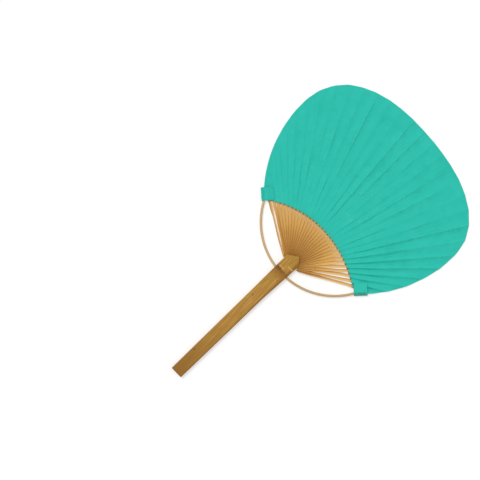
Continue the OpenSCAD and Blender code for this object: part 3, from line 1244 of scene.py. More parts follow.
@dataclass(frozen=True)
class RibFinish(BambooFinish):
    """Split bamboo that is darker where the ribs leave the slat, partly as painted shade, with painted
    highlight and painted shade across the ribs, and painted shade just before the leaf's edge.
    """

    arc_radius: float = 100.0
    arc_centre: Span = (0.0, 0.0)
    # Painted shade colour for the ribs by the leaf's edge.
    leaf_edge_shade: Colour = paint(84, 92, 40)
    root: Colour = paint(160, 108, 42)
    ruddy: Colour = paint(190, 130, 72)
    tip: Colour = paint(226, 190, 136)
    # Painted shade and painted highlight colours for the ribs' lit number.
    low: Colour = paint(160, 108, 46)
    high: Colour = paint(236, 194, 130)
    left_span: Span = (0.6, 0.95)
    root_span: Span = (44.0, 10.0)
    root_share: float = 0.55
    patch_size: Span = (4.5, 6.0)
    ruddy_patch: Step = (0.5, 0.64, 0.5)
    ruddy_reach: Span = (44.0, 24.0)
    dark_patch: Step = (0.46, 0.32, 0.25)
    dark_reach: Span = (34.0, 16.0)
    tip_step: Step = (34.0, 54.0, 0.25)
    lit_shade_step: Step = (-0.1, -0.8, 0.6)
    lit_highlight_step: Step = (0.1, 0.8, 0.6)
    leaf_shade_lean: float = 60.0
    leaf_shade_span: Span = (-1.8, -0.4)
    leaf_shade_share: float = 0.25
    rib_edge_shade: Step = (0.35, 0.8, 0.55)

    def tint(self, recipe: Recipe, colour: Field) -> Field:
        """Adds the darker roots and lighter tips, which are partly painted shade and light, the painted
        highlight and shade across the ribs, and the painted shade beside the leaf.

        Args:
            recipe: The material's nodes.
            colour: The wood's colour.

        Returns:
            The colour with its patches, painted shade and painted highlight.
        """
        away = recipe.attribute("along")
        x, y, _ = recipe.place()
        left = (x * -1.0).atan2(y).above(*self.left_span)
        # Darker roots: partly the wood's own tone, partly painted shade where the ribs are packed.
        rooted = away.above(*self.root_span) * (self.root_share - left * self.root_share)
        colour = recipe.mix(colour, self.root, rooted)
        patch = recipe.grain(x / self.patch_size[0], y / self.patch_size[1], 31.0, 3.0)
        for paint_on, step, reach in (
            (self.ruddy, self.ruddy_patch, self.ruddy_reach),
            (self.root, self.dark_patch, self.dark_reach),
        ):
            patched = patch.above(*step[:2]) * away.above(*reach)
            colour = recipe.mix(colour, paint_on, patched * step[2])
        # Lighter tips: partly the wood's own tone, partly painted light where the ribs lie more face up.
        colour = recipe.dab(colour, self.tip, away, self.tip_step)
        edge, lit = recipe.attribute("edge"), recipe.attribute("lit")
        # Painted shade where lit is low, painted highlight where it is high.
        colour = recipe.dab(colour, self.low, lit, self.lit_shade_step)
        colour = recipe.dab(colour, self.high, lit, self.lit_highlight_step)
        # Painted shade on the ribs just before and under the leaf's inner edge, darker at each rib's edges.
        past_arc = apart(x, y, self.arc_centre) + x / self.leaf_shade_lean - self.arc_radius
        start, full, share = self.rib_edge_shade
        edged = self.leaf_shade_share + abs(edge).above(start, full) * share
        return recipe.mix(colour, self.leaf_edge_shade, past_arc.above(*self.leaf_shade_span) * edged)


class Builder:
    """A mesh in the making, in millimetres, with a few numbers kept at each of its points."""

    def __init__(self, name: str, tags: Iterable[str]) -> None:
        """Starts an empty mesh.

        Args:
            name: Name of the piece.
            tags: Names of the numbers that the mesh keeps at each point.
        """
        self.name = name
        self.mesh = bmesh.new()
        self.tags = {tag: self.mesh.verts.layers.float.new(tag) for tag in tags}

    def mark(self, vert: bmesh.types.BMVert, **values: float) -> None:
        """Writes the numbers of a point."""
        for tag, value in values.items():
            vert[self.tags[tag]] = value

    def grid(
        self,
        columns: int,
        rows: int,
        place: Callable[[int, int], Placed],
    ) -> list[bmesh.types.BMVert]:
        """Adds a grid and moves its points.

        Args:
            columns: Number of points across.
            rows: Number of points along.
            place: Gives the place and the numbers of the point at a column and a row.

        Returns:
            The points.
        """
        made = bmesh.ops.create_grid(self.mesh, x_segments=columns - 1, y_segments=rows - 1, size=1.0)
        for vert in made["verts"]:
            column = round((vert.co.x + 1.0) / 2.0 * (columns - 1))
            row = round((vert.co.y + 1.0) / 2.0 * (rows - 1))
            vert.co, values = place(column, row)
            self.mark(vert, **values)
        return made["verts"]

    def thicken(self, thickness: float) -> None:
        """Gives an open sheet its thickness, half on each side of where it lies.

        Args:
            thickness: Thickness in millimetres.
        """
        self.mesh.normal_update()
        pushes = {vert.co.copy().freeze(): vert.normal * thickness / 2.0 for vert in self.mesh.verts}
        geometry = [*self.mesh.verts, *self.mesh.edges, *self.mesh.faces]
        made = bmesh.ops.extrude_face_region(self.mesh, geom=geometry, use_keep_orig=True)["geom"]
        lifted = {item for item in made if isinstance(item, bmesh.types.BMVert)}
        for vert in self.mesh.verts:
            push = pushes[vert.co.copy().freeze()]
            vert.co += push if vert in lifted else -push

    def finish(
        self,
        materials: list[bpy.types.Material],
        sharp: float,
        slot: str,
        *nodes: str,
    ) -> bpy.types.Object:
        """Makes an object of the mesh.

        Args:
            materials: The materials that its faces name by number.
            sharp: Angle between two faces, in degrees, from which their edge is sharp.
            slot: Name of a material slot, which is not used.
            nodes: The nodes of the model that the piece stands for.

        Returns:
            The object, which rides on the fan's one body.
        """
        bmesh.ops.recalc_face_normals(self.mesh, faces=self.mesh.faces)
        bmesh.ops.scale(self.mesh, vec=(MM, MM, MM), verts=self.mesh.verts)
        data = mesh_of(self.name, self.mesh)
        for material in materials:
            data.materials.append(material)
        data.shade_smooth()
        data.set_sharp_from_angle(angle=math.radians(sharp))
        piece = add_object(self.name, data)
        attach(piece, "root")
        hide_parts(*nodes)
        LOG.info("%s: %d faces", self.name, len(data.polygons))
        return piece


@dataclass
class BambooSlat:
    """The slat of bamboo: handle, node and pointed head, and the ribs that are split from its end."""

    plan: FanPlan
    edge_round: float = 0.9
    edge_steps: int = 5
    butt_round: float = 0.4
    butt_steps: int = 2
    crown: float = 0.12
    node_rise: float = 0.3
    node_reach: float = 3.0
    node_slant: float = 0.15
    stations: int = 90
    columns: int = 8
    hole_sides: int = 24
    sharp_angle: float = 32.0
    width_play: Wander = Wander(3.0, 0.08, 0.03)
    middle_play: Wander = Wander(4.0, 0.05, 0.02)
    face_play: Wander = Wander(5.0, 0.06, 0.05)
    rib_stations: int = 90
    station_power: float = 1.6
    rib_edge: float = 0.09
    rib_fibre_step: float = 9.0
    handle_fibre_start: float = 300.0
    side_fibre_pace: float = 1.7
    rib_tone: float = 0.42
    steep_painted_light: float = 0.5
    left_tone: float = -0.1
    tone_play: float = 0.12
    outer_start: float = 2.5
    play_span: Span = (6.0, 16.0)
    tilt_play: Wander = Wander(20.0, math.radians(3.0), 0.03)
    sway_play: Wander = Wander(70.0, 0.06, 0.05)
    root_span: Span = (9.0, 13.0)
    root_fade: Span = (32.0, 44.0)
    light_span: Span = (24.0, 40.0)
    first_light: float = 1.3
    first_span: Span = (10.0, 18.0)
    low_light: float = -0.4
    tags: tuple[str, ...] = ("along", "across", "tone", "edge", "lit")

    def build(self) -> bpy.types.Object:
        """Builds handle and ribs as one piece.

        Returns:
            The object.
        """
        builder = Builder("bamboo_slat", self.tags)
        self.add_ribs(builder)
        for face in builder.mesh.faces:
            face.material_index = 1
        self.add_handle(builder)
        finishes = [self.handle_finish(), self.rib_finish()]
        return builder.finish(finishes, self.sharp_angle, "bamboo", "bamboo_frame")

    def handle_finish(self) -> bpy.types.Material:
        """Makes the planed bamboo of handle and head.

        Returns:
            The material.
        """
        return HandleFinish(
            "planed_bamboo",
            light=paint(190, 147, 66),
            middle=paint(175, 130, 54),
            dark=paint(150, 103, 36),
            fibre_pitch=0.5,
        ).make()

    def rib_finish(self) -> bpy.types.Material:
        """Makes the split bamboo of the ribs.

        Returns:
            The material.
        """
        arc_radius, arc_y = self.plan.inner_arc
        return RibFinish(
            "split_bamboo",
            light=paint(232, 186, 108),
            middle=paint(203, 152, 70),
            dark=paint(168, 114, 42),
            fibre_pitch=0.25,
            roughness=0.55,
            arc_radius=arc_radius,
            arc_centre=(self.plan.leaf_shift, arc_y),
        ).make()

    def add_handle(self, builder: Builder) -> None:
        """Adds the handle with its head, node and the hole for the bow.

        Args:
            builder: The mesh to add to.
        """
        plan = self.plan
        blank = bmesh.new()
        length = plan.head_y + plan.handle_reach
        width = plan.butt_width
        bmesh.ops.create_cube(blank, size=1.0)
        bmesh.ops.scale(blank, vec=(width, length, plan.slat_thickness), verts=blank.verts)
        middle = Vector((0.0, (plan.head_y - plan.handle_reach) / 2.0, plan.slat_thickness / 2.0))
        bmesh.ops.translate(blank, vec=middle, verts=blank.verts)
        self.round_edges(blank, self.edges_along(blank, 1), self.edge_round, self.edge_steps)
        end = 1.0 - plan.handle_reach
        butt = [edge for edge in blank.edges if all(vert.co.y < end for vert in edge.verts)]
        self.round_edges(blank, butt, self.butt_round, self.butt_steps)
        for step in range(1, self.stations):
            y = blend(-plan.handle_reach + 1.0, plan.head_y - 0.5, step / self.stations)
            self.slice(blank, Vector((0.0, y, 0.0)), Vector((0.0, 1.0, 0.0)))
        for step in range(1, self.columns):
            x = blend(-1.0, 1.0, step / self.columns) * (width / 2.0 - self.edge_round)
            self.slice(blank, Vector((x, 0.0, 0.0)), Vector((1.0, 0.0, 0.0)))
        for vert in blank.verts:
            vert.co = self.on_handle(vert.co)
        for side in (-1.0, 1.0):
            self.cut_gable(blank, side)
        source = mesh_of("slat_blank", blank)
        self.drill(source)
        first = len(builder.mesh.verts)
        builder.mesh.from_mesh(source)
        bpy.data.meshes.remove(source)
        builder.mesh.verts.ensure_lookup_table()
        for vert in builder.mesh.verts[first:]:
            along = vert.co.y + self.handle_fibre_start
            across = vert.co.x + vert.co.z * self.side_fibre_pace
            builder.mark(vert, along=along, across=across, tone=0.5)

    @staticmethod
    def edges_along(mesh: bmesh.types.BMesh, axis: int) -> list[bmesh.types.BMEdge]:
        """Returns the edges of a mesh that are over a millimetre long in the direction of an axis."""
        return [edge for edge in mesh.edges if abs(edge.verts[0].co[axis] - edge.verts[1].co[axis]) > 1.0]

    @staticmethod
    def round_edges(
        mesh: bmesh.types.BMesh,
        edges: list[bmesh.types.BMEdge],
        radius: float,
        steps: int,
    ) -> None:
        """Rounds edges of a mesh.

        Args:
            mesh: The mesh in the making.
            edges: The edges to round.
            radius: Radius of the rounding.
            steps: Faces across it.
        """
        bmesh.ops.bevel(
            mesh,
            geom=edges,
            offset=radius,
            offset_type="OFFSET",
            segments=steps,
            profile=0.5,
            affect="EDGES",
            material=-1,
        )

    @staticmethod
    def slice(mesh: bmesh.types.BMesh, point: Vector, normal: Vector, clear: bool = False) -> None:
        """Adds a line of edges where a plane passes through a mesh.

        Args:
            mesh: The mesh in the making.
            point: A point of the plane.
            normal: Direction that the plane faces.
            clear: Whether what lies in that direction is cut away.
        """
        bmesh.ops.bisect_plane(
            mesh,
            geom=[*mesh.verts, *mesh.edges, *mesh.faces],
            plane_co=point,
            plane_no=normal,
            clear_outer=clear,
            dist=0.0001,
        )

    def on_handle(self, point: Vector) -> Vector:
        """Moves a point of the straight blank to its place on the tapered, hand-planed slat.

        Args:
            point: The point of the blank.

        Returns:
            Its place on the slat.
        """
        plan = self.plan
        x, y, z = point
        share = x / (plan.butt_width / 2.0)
        from_node = abs(y + plan.node_back + self.node_slant * x)
        swell = self.node_rise * (1.0 - smooth(0.0, self.node_reach, from_node))
        width = plan.slat_width(y) + swell + self.width_play.at(y)
        crown = self.crown * (1.0 - share * share) + self.face_play.at(y, across=share * 2.0)
        belly = plan.sole_rise * share * share
        top = plan.slat_thickness - self.crown + crown + swell
        x = plan.slat_middle(y) + share * width / 2.0 + self.middle_play.at(y)
        return Vector((x, y, blend(belly, top, z / plan.slat_thickness)))

    def cut_gable(self, mesh: bmesh.types.BMesh, side: float) -> None:
        """Cuts one slope of the pointed head, and closes the cut.

        Args:
            mesh: The mesh in the making.
            side: -1 for the left side and 1 for the right one.
        """
        plan = self.plan
        tip = Vector((plan.gable_shift, plan.head_y, 0.0))
        run = side * (plan.slat_middle(plan.head_y) - plan.gable_shift) + plan.head_width / 2.0
        outward = Vector((side * (plan.gable_rise + side * plan.gable_skew / 2.0), run, 0.0)).normalized()
        self.slice(mesh, tip, outward, clear=True)
        bmesh.ops.holes_fill(mesh, edges=mesh.edges)

    def drill(self, mesh: bpy.types.Mesh) -> None:
        """Drills the hole that the bow passes through.

        Args:
            mesh: The slat's mesh.
        """
        plan = self.plan
        bored = plan.slat_width(-plan.bow_back) / 2.0 + plan.leaf_shift - plan.slat_middle(-plan.bow_back)
        rise = plan.bow_radius - math.sqrt(plan.bow_radius**2 - bored**2)
        radius = plan.bow_diameter / 2.0 + rise / 2.0 + plan.bow_fit
        drill = bmesh.new()
        bmesh.ops.create_cone(
            drill,
            cap_ends=True,
            segments=self.hole_sides,
            radius1=radius,
            radius2=radius,
            depth=plan.head_width + 4.0,
        )
        turn = Matrix.Rotation(math.pi / 2.0, 3, "Y")
        bmesh.ops.rotate(drill, cent=(0.0, 0.0, 0.0), matrix=turn, verts=drill.verts)
        centre = Vector((0.0, rise / 2.0 - plan.bow_back, plan.slat_thickness / 2.0))
        bmesh.ops.translate(drill, vec=centre, verts=drill.verts)
        cutter_mesh = mesh_of("drill", drill)
        cutter = add_object("drill", cutter_mesh)
        blank = add_object("slat_blank", mesh)
        cut = blank.modifiers.new("drill", "BOOLEAN")
        cut.object = cutter
        cut.operation = "DIFFERENCE"
        cut.solver = "EXACT"
        drilled = bmesh.new()
        drilled.from_object(blank, bpy.context.evaluated_depsgraph_get())
        drilled.to_mesh(mesh)
        drilled.free()
        bpy.data.objects.remove(blank)
        bpy.data.objects.remove(cutter)
        bpy.data.meshes.remove(cutter_mesh)

    def add_ribs(self, builder: Builder) -> None:
        """Adds the ribs, each a thin strip that leaves the head on edge and untwists.

        Args:
            builder: The mesh to add to.
        """
        dice = random.Random(5)
        for index in range(self.plan.rib_count):
            place = self.plan.rib_place(index)
            # Steep ribs on the right are painted lighter, painted light that makes up for the shade between
            # them.
            bright = self.rib_tone + self.steep_painted_light * self.plan.steepness(place)
            bright += self.left_tone * smooth(0.3, 1.0, -place)
            bright += dice.uniform(-self.tone_play, self.tone_play)
            self.add_rib(builder, index, min(1.0, max(0.0, bright)))

    def add_rib(self, builder: Builder, index: int, tone: float) -> None:
        """Adds one rib.

        Args:
            builder: The mesh to add to.
            index: Number of the rib, from the left.
            tone: How light it is, from 0 to 1.
        """
        plan = self.plan
        root, tip = plan.root_radius, plan.rib_tip(plan.angle_of(index))
        if index in (0, plan.rib_count - 1):
            root -= self.outer_start
        strip = bmesh.new()
        layers = [strip.verts.layers.float.new(tag) for tag in self.tags]
        bmesh.ops.create_cube(strip, size=1.0)
        size = Vector((tip - root, plan.rib_depth, plan.rib_thickness))
        bmesh.ops.scale(strip, vec=size, verts=strip.verts)
        self.round_edges(strip, self.edges_along(strip, 0), self.rib_edge, 1)
        long_edges = self.edges_along(strip, 0)
        bmesh.ops.subdivide_edges(strip, edges=long_edges, cuts=self.rib_stations, use_grid_fill=True)
        for vert in strip.verts:
            radius = root + size.x * (vert.co.x / size.x + 0.5) ** self.station_power
            depth, thickness = vert.co.y, vert.co.z
            edge = 2.0 * depth / plan.rib_depth
            across = depth + index * self.rib_fibre_step
            for layer, value in zip(layers, (radius, across, tone, edge, self.lit(index, radius, edge))):
                vert[layer] = value
            vert.co = self.on_rib(index, radius, depth, thickness)
        source = mesh_of("rib", strip)
        builder.mesh.from_mesh(source)
        bpy.data.meshes.remove(source)

    def lit(self, index: int, radius: float, edge: float) -> float:
        """Returns the painted light of a point of a rib, from -1 for full painted shade to 1 for full
        painted highlight.

        Args:
            index: Number of the rib, from the left.
            radius: Distance from the centre of the ribs.
            edge: Place across the rib, from -1 at its low edge to 1 at its high edge.

        Returns:
            The painted light, which evens out the shading across a rib at the roots, where each rib lies
            half under the next.
        """
        plan = self.plan
        # The first rib: painted highlight on its high edge, painted shade on its low edge.
        if index == 0:
            return self.first_light * edge * smooth(*self.first_span, radius)
        steep = plan.steepness(plan.rib_place(index))
        room = radius * plan.rib_step(index)
        shown = min(1.0, room / math.cos(plan.rib_tilt(index, radius)) / plan.rib_depth)
        # At the roots, painted highlight on the part of a rib in shadow and painted shade on its high edge
        # even out the rib.
        rooted = smooth(*self.root_span, radius) * (1.0 - smooth(*self.root_fade, radius)) * (1.0 - steep)
        evened = max(-1.0, min(1.0, (1.0 - edge) / shown - 1.0))
        # Away from the roots, steep ribs get painted highlight on the high edge and painted shade on the low
        # edge; flatter ribs get the reverse, more weakly, to offset the shadow between them.
        slanted = blend(self.low_light, 1.0, steep) * smooth(*self.light_span, radius) * edge
        return slanted * (1.0 - rooted) + evened * rooted

    def on_rib(self, index: int, radius: float, depth: float, thickness: float) -> Vector:
        """Moves a point of a straight strip to its place on a rib.

        Args:
            index: Number of the rib, from the left.
            radius: Distance from the centre of the ribs.
            depth: Place across the rib's broad face.
            thickness: Place through the rib.

        Returns:
            The place of the point.
        """
        plan = self.plan
        angle = plan.angle_of(index)
        tilt, height = plan.rib_pose(index, radius)
        bare = smooth(*self.play_span, radius - plan.root_radius)
        bare *= 1.0 - smooth(-plan.rib_cover, 0.0, radius - plan.inner_radius(angle))
        tilt += bare * self.tilt_play.at(radius, index)
        sway = bare * self.sway_play.at(radius, index) + plan.sway(index, radius)
        across = Vector((math.cos(angle), -math.sin(angle), 0.0))
        up = Vector((0.0, 0.0, 1.0))
        depth *= plan.rib_width(index, radius) / plan.rib_depth
        middle = polar(radius, angle).to_3d() + across * sway + up * height
        along_depth = across * math.cos(tilt) + up * math.sin(tilt)
        along_thickness = up * math.cos(tilt) - across * math.sin(tilt)
        return middle + along_depth * depth + along_thickness * thickness


@dataclass
class Bow:
    """The thin rod of bamboo that passes through the head and spans the corners of the leaf."""

    plan: FanPlan
    sides: int = 12
    steps: int = 150
    thinness: float = 0.97
    taper: Wander = Wander(31.0, 0.04, 0.05)
    flats: Wander = Wander(32.0, 0.015, 0.2)
    node_along: float = 43.0
    node_half: float = 2.2
    node_swell: float = 0.1
    flattened: float = 0.06
    left_tone: float = 0.5
    right_tone: float = 0.15
    tone_reach: float = 20.0
    fibre_start: float = 200.0
    sharp_angle: float = 40.0

    def build(self) -> bpy.types.Object:
        """Builds the bow.

        Returns:
            The object.
        """
        plan = self.plan
        builder = Builder("bow", ("along", "across", "tone"))
        mesh = builder.mesh
        half = plan.bow_diameter / 2.0
        ring = bmesh.ops.create_circle(mesh, cap_ends=False, segments=self.sides, radius=half)["verts"]
        upright = Matrix.Rotation(math.pi / 2.0, 3, "Y")
        bmesh.ops.rotate(mesh, cent=(0.0, 0.0, 0.0), matrix=upright, verts=ring)
        centre = Vector((0.0, plan.bow_radius, 0.0))
        bmesh.ops.rotate(mesh, cent=centre, matrix=Matrix.Rotation(-plan.bow_reach, 3, "Z"), verts=ring)
        bmesh.ops.spin(
            mesh,
            geom=[*mesh.verts, *mesh.edges],
            cent=centre,
            axis=(0.0, 0.0, 1.0),
            angle=2.0 * plan.bow_reach,
            steps=self.steps,
            use_merge=False,
            use_duplicate=False,
        )
        bmesh.ops.remove_doubles(mesh, verts=mesh.verts, dist=0.0001)
        bmesh.ops.holes_fill(mesh, edges=mesh.edges)
        for vert in mesh.verts:
            self.shape(builder, vert, centre)
        tilt = Matrix.Rotation(-plan.bow_dip, 3, "X")
        bmesh.ops.rotate(mesh, cent=(0.0, 0.0, 0.0), matrix=tilt, verts=mesh.verts)
        place = Vector((plan.leaf_shift, -plan.bow_back, plan.slat_thickness / 2.0))
        bmesh.ops.translate(mesh, vec=place, verts=mesh.verts)
        return builder.finish([self.finish_bamboo()], self.sharp_angle, "bow_bamboo", "bow")

    def shape(self, builder: Builder, vert: bmesh.types.BMVert, centre: Vector) -> None:
        """Gives a point of the even rod the flats and swellings of whittled bamboo, and its numbers.

        Args:
            builder: The mesh of the rod.
            vert: The point.
            centre: Centre of the bow's arc.
        """
        plan = self.plan
        away = vert.co - centre
        sweep = math.atan2(away.x, -away.y)
        arm = math.hypot(away.x, away.y) - plan.bow_radius
        turn = math.atan2(vert.co.z, arm)
        along = sweep * plan.bow_radius
        thin = self.thinness + self.taper.at(along) + self.flats.at(along, across=turn)
        thin += max(0.0, 1.0 - abs(along - self.node_along) / self.node_half) * self.node_swell
        radius = plan.bow_radius + arm * thin
        height = vert.co.z * (thin - self.flattened)
        vert.co = centre + Vector((math.sin(sweep) * radius, -math.cos(sweep) * radius, height))
        tone = blend(self.left_tone, self.right_tone, smooth(-self.tone_reach, self.tone_reach, along))
        across = turn * plan.bow_diameter / 2.0
        builder.mark(vert, along=along + self.fibre_start, across=across, tone=tone)

    def finish_bamboo(self) -> bpy.types.Material:
        """Makes the pale bamboo of the bow.

        Returns:
            The material.
        """
        return BambooFinish(
            "pale_bamboo",
            light=paint(224, 198, 160),
            middle=paint(202, 172, 128),
            dark=paint(170, 134, 84),
            fibre_pitch=0.3,
        ).make()


@dataclass
class Sheet:
    """One of the two sheets of paper that are pasted over the ribs and to each other between them."""

    plan: FanPlan
    face: Face
    rib_marks: tuple[float, ...] = (-1.0, -0.6, 0.0, 0.6, 1.0)
    gap_steps: tuple[float, ...] = (0.18, 0.52, 1.1)
    gap_shares: tuple[float, ...] = (0.12, 0.27, 0.4)
    corner_columns: int = 12
    inner_steps: tuple[float, ...] = (0.0, 0.3, 0.8, 1.6)
    edge_shades: tuple[float, ...] = (1.0, 1.0, 0.85, 0.35)
    rim_steps: tuple[float, ...] = (3.2, 2.0, 1.2, 0.6, 0.25, 0.0)
    rim_inset: float = 0.05
    inner_cut: Wander = Wander(60.0, 0.12, 25.0)
    rim_cut: Wander = Wander(80.0, 0.2, 14.0)
    step_room: float = 12.0
    tip_run: float = 1.1
    middle_rows: int = 76
    edge_pad: float = 0.06
    crease_play: float = 0.5
    waver_level: float = 0.5
    wavers: tuple[Wander, Wander] = (Wander(300.0, 0.32, 0.13), Wander(330.0, 0.26, 0.37))
    waver_span: Span = (62.0, 76.0)
    jogs: tuple[Wander, Wander] = (Wander(400.0, 0.45, 0.22), Wander(430.0, 0.3, 0.7))
    bulges: tuple[Wander, Wander] = (Wander(120.0, 0.34, 0.022), Wander(160.0, 0.14, 0.08))
    pucker: Wander = Wander(200.0, 0.05, 0.12)
    jog_limits: Span = (0.3, 1.15)
    slack_width: float = 4.0
    pucker_pace: float = 0.8
    ridge_power: float = 1.2
    ridge_reach: float = 0.3
    press_fall: float = 0.4
    least_gap: float = 0.005
    rib_shade: float = 0.4
    corner_shade: float = 0.8
    corner_fall: float = 0.25
    bridge_reach: float = 1.6
    bridge_lift: float = 0.7
    sharp_angle: float = 50.0
    valley_flat: Span = (0.3, 1.3)
    valley_steep: Span = (0.8, 3.0)
    fall_reach: float = 0.9
    soft_reach: float = 1.3
    back_reach: float = 0.9

    @cached_property
    def rows(self) -> int:
        """Number of points from the inner edge to the rim."""
        return len(self.inner_steps) + self.middle_rows + len(self.rim_steps)

    @cached_property
    def lines(self) -> list[list[Placed]]:
        """The points of the sheet's middle and their numbers.

        Returns:
            One line of points for each column.
        """
        plan = self.plan
        before = [self.corner_line(-1.0, share) for share in self.corner_shares[::-1]]
        after = [self.corner_line(1.0, share) for share in self.corner_shares]
        between: list[list[Placed]] = []
        for index in range(plan.rib_count):
            between += [self.rib_line(index, mark) for mark in self.rib_marks]
            if index < plan.rib_count - 1:
                between += self.gap_lines(index)
        return before + between + after

    @cached_property
    def corner_shares(self) -> list[float]:
        """Places of the columns between the outermost rib and the corner."""
        return [(step + 1) / self.corner_columns for step in range(self.corner_columns)]

    def build(self) -> bpy.types.Object:
        """Builds the sheet.

        Returns:
            The object.
        """
        side = self.face.name.lower()
        builder = Builder(f"{side}_sheet", ("ridge", "valley", "rim", "shade"))
        builder.grid(len(self.lines), self.rows, lambda column, row: self.lines[column][row])
        builder.thicken(self.plan.paper)
        seed = 0.0 if self.face is Face.FRONT else 40.0
        finish = PaperFinish(f"{side}_sheet_paper", seed=seed)
        return builder.finish([finish.make()], self.sharp_angle, f"{side}_paper", f"{side}_leaf")

    def radius_at(self, angle: float, row: int) -> float:
        """Finds how far out a row lies at an angle, between the hand-cut inner edge and rim.

        Args:
            angle: Angle from the middle line of the fan.
            row: Number of the point, from the inner edge to the rim.

        Returns:
            The distance from the centre of the ribs.
        """
        plan = self.plan
        side = self.face.value
        low = plan.cut_radius(angle) + self.inner_cut.at(angle, side)
        if self.face is Face.BACK:
            low -= self.back_reach * (1.0 - smooth(0.85, 1.0, abs(angle) / plan.rib_spread))
        high = plan.rim_radius(angle) - self.rim_inset + self.rim_cut.at(angle, side)
        first, last = len(self.inner_steps), len(self.rim_steps)
        scale = min(1.0, (high - low) / self.step_room)
        if row < first:
            return low + self.inner_steps[row] * scale
        if row >= self.rows - last:
            return high - self.rim_steps[row - self.rows + last] * scale
        start = low + self.inner_steps[-1] * scale
        end = high - self.rim_steps[0] * scale
        return blend(start, end, (row - first + 1) / (self.middle_rows + 1))

    def room(self, tilt: float, radius: float, tip: float) -> float:
        """Returns the distance of the sheet's inner face from the middle of the rib that it covers."""
        over = self.plan.rib_thickness / 2.0 / math.cos(tilt)
        return over * (1.0 - smooth(tip, tip + self.tip_run, radius)) + self.plan.glue

    def rib_line(self, index: int, mark: float) -> list[Placed]:
        """Lays one line of points along a rib.

        Args:
            index: Number of the rib, from the left.
            mark: Place across the rib, from -1 at its left edge to 1 at its right edge.

        Returns:
            The points and their numbers.
        """
        plan = self.plan
        angle = plan.angle_of(index)
        tip = plan.rib_tip(angle)
        line = []
        for row in range(self.rows):
            turn, along = angle, self.radius_at(angle, row)
            for _ in range(4):
                tilt, height = plan.rib_pose(index, along)
                half = plan.rib_width(index, along) / 2.0
                covered = half * math.cos(tilt)
                off = mark * (covered + self.edge_pad + self.waver(index, along))
                turn = angle + math.atan2(off, along)
                along = self.radius_at(turn, row) * math.cos(turn - angle)
            press = plan.press(index, along)
            level = blend(self.face.value, mark, press)
            spread = blend(1.0, abs(off) / max(abs(mark) * covered, 0.01), press)
            middle = height + level * half * math.sin(tilt) * (spread if mark else 1.0)
            inner = middle + self.face.value * self.room(tilt, along, tip)
            point = polar(along / math.cos(turn - angle), turn)
            if (index, mark) in ((0, -1.0), (plan.rib_count - 1, 1.0)):
                inner = self.outermost(inner, plan.pocket_z(point, self.face))
            # Worn dye and painted highlight along a creased rib's high edge; painted shade along the cut
            # edge.
            ridge = max(0.0, mark) ** self.ridge_power * plan.crease(index, along) ** 2
            values = {"ridge": ridge, "valley": 0.0, "shade": self.rib_shade * self.inner_shade(row)}
            line.append(self.at(point, inner, row, values))
        return line

    def waver(self, index: int, radius: float) -> float:
        """Returns how far past the edges of a rib the paper keeps straight before it turns down."""
        wave = sum((waver.at(radius, index) for waver in self.wavers), self.waver_level)
        return self.crease_play * max(0.0, wave) * smooth(*self.waver_span, radius)

    def outermost(self, first: float, second: float) -> float:
        """Returns the height that lies further out on the sheet's side."""
        return max(first, second) if self.face is Face.FRONT else min(first, second)

    def inner_shade(self, row: int) -> float:
        """Returns how much painted shade the cut edge over the ribs gets at a row, from 0 to 1."""
        return self.edge_shades[row] if row < len(self.edge_shades) else 0.0

    def place_along(self, index: int, point: Vector) -> float:
        """Returns how far along a rib a point lies."""
        angle = self.plan.angle_of(index)
        return point.x * math.sin(angle) + point.y * math.cos(angle)

    def at(self, point: Vector, inner: float, row: int, values: dict[str, float]) -> Placed:
        """Places a point of the sheet's middle, and adds how near the rim it is.

        Args:
            point: Place, seen from above.
            inner: Height of the sheet's inner face there.
            row: Number of the point, from the inner edge to the rim.
            values: The numbers of the point.

        Returns:
            The place and the numbers.
        """
        half = self.plan.paper / 2.0
        height = max(inner + self.face.value * half, half + self.plan.glue)
        values["rim"] = 1.0 if row in (0, self.rows - 1) else 0.3 if row in (1, self.rows - 2) else 0.0
        return Vector((point.x, point.y, height)), values

    def gap_lines(self, index: int) -> list[list[Placed]]:
        """Lays the lines of points between a rib and the next one on its right.

        Args:
            index: Number of the rib, from the left.

        Returns:
            The points and their numbers, a line for each column.
        """
        plan = self.plan
        ribs = (index, index + 1)
        steep = plan.steepness(plan.rib_place(index))
        valley_ends = [blend(*ends, steep) for ends in zip(self.valley_flat, self.valley_steep)]
        lines: list[list[Placed]] = [[] for _ in range(2 * len(self.gap_steps) + 1)]
        left, right = self.rib_line(index, 1.0), self.rib_line(index + 1, -1.0)
        tips = [plan.rib_tip(plan.angle_of(rib)) for rib in ribs]
        for row in range(self.rows):
            start, end = left[row][0], right[row][0]
            width = (end - start).xy.length
            radius = start.xy.length
            steps = [min(step / width, share) for step, share in zip(self.gap_steps, self.gap_shares)]
            jog = max(self.jog_limits[0], sum((wander.at(radius, index) for wander in self.jogs), 1.0))
            most = [share * self.jog_limits[1] for share in self.gap_shares]
            jogged = [min(step * jog, limit) for step, limit in zip(steps, most)]
            shares = [*jogged, 0.5, *(1.0 - share for share in reversed(steps))]
            places = [self.place_along(rib, point) for rib, point in zip(ribs, (start, end))]
            tilts = [plan.rib_pose(rib, place)[0] for rib, place in zip(ribs, places)]
            rooms = [self.room(tilt, place, tip) for tilt, place, tip in zip(tilts, places, tips)]
            press = min(plan.press(rib, radius) for rib in ribs)
            slopes = [tilt * press for tilt in tilts]
            offs = [self.face.value * (room + plan.paper / 2.0) for room in rooms]
            middles = [start.z - offs[0], end.z - offs[1]]
            crease = plan.crease(index, radius) ** 2
            sharps = [plan.crease(rib, radius) for rib in ribs]
            for line, share in zip(lines, shares):
                near = 0 if share < 0.5 else 1
                middle = self.bridge(middles, slopes, width, share)
                middle += self.slack(index, radius, width, share)
                reach = blend(self.soft_reach, self.fall_reach, sharps[near])
                fall = smooth(0.0, reach, min(share, 1.0 - share) * width)
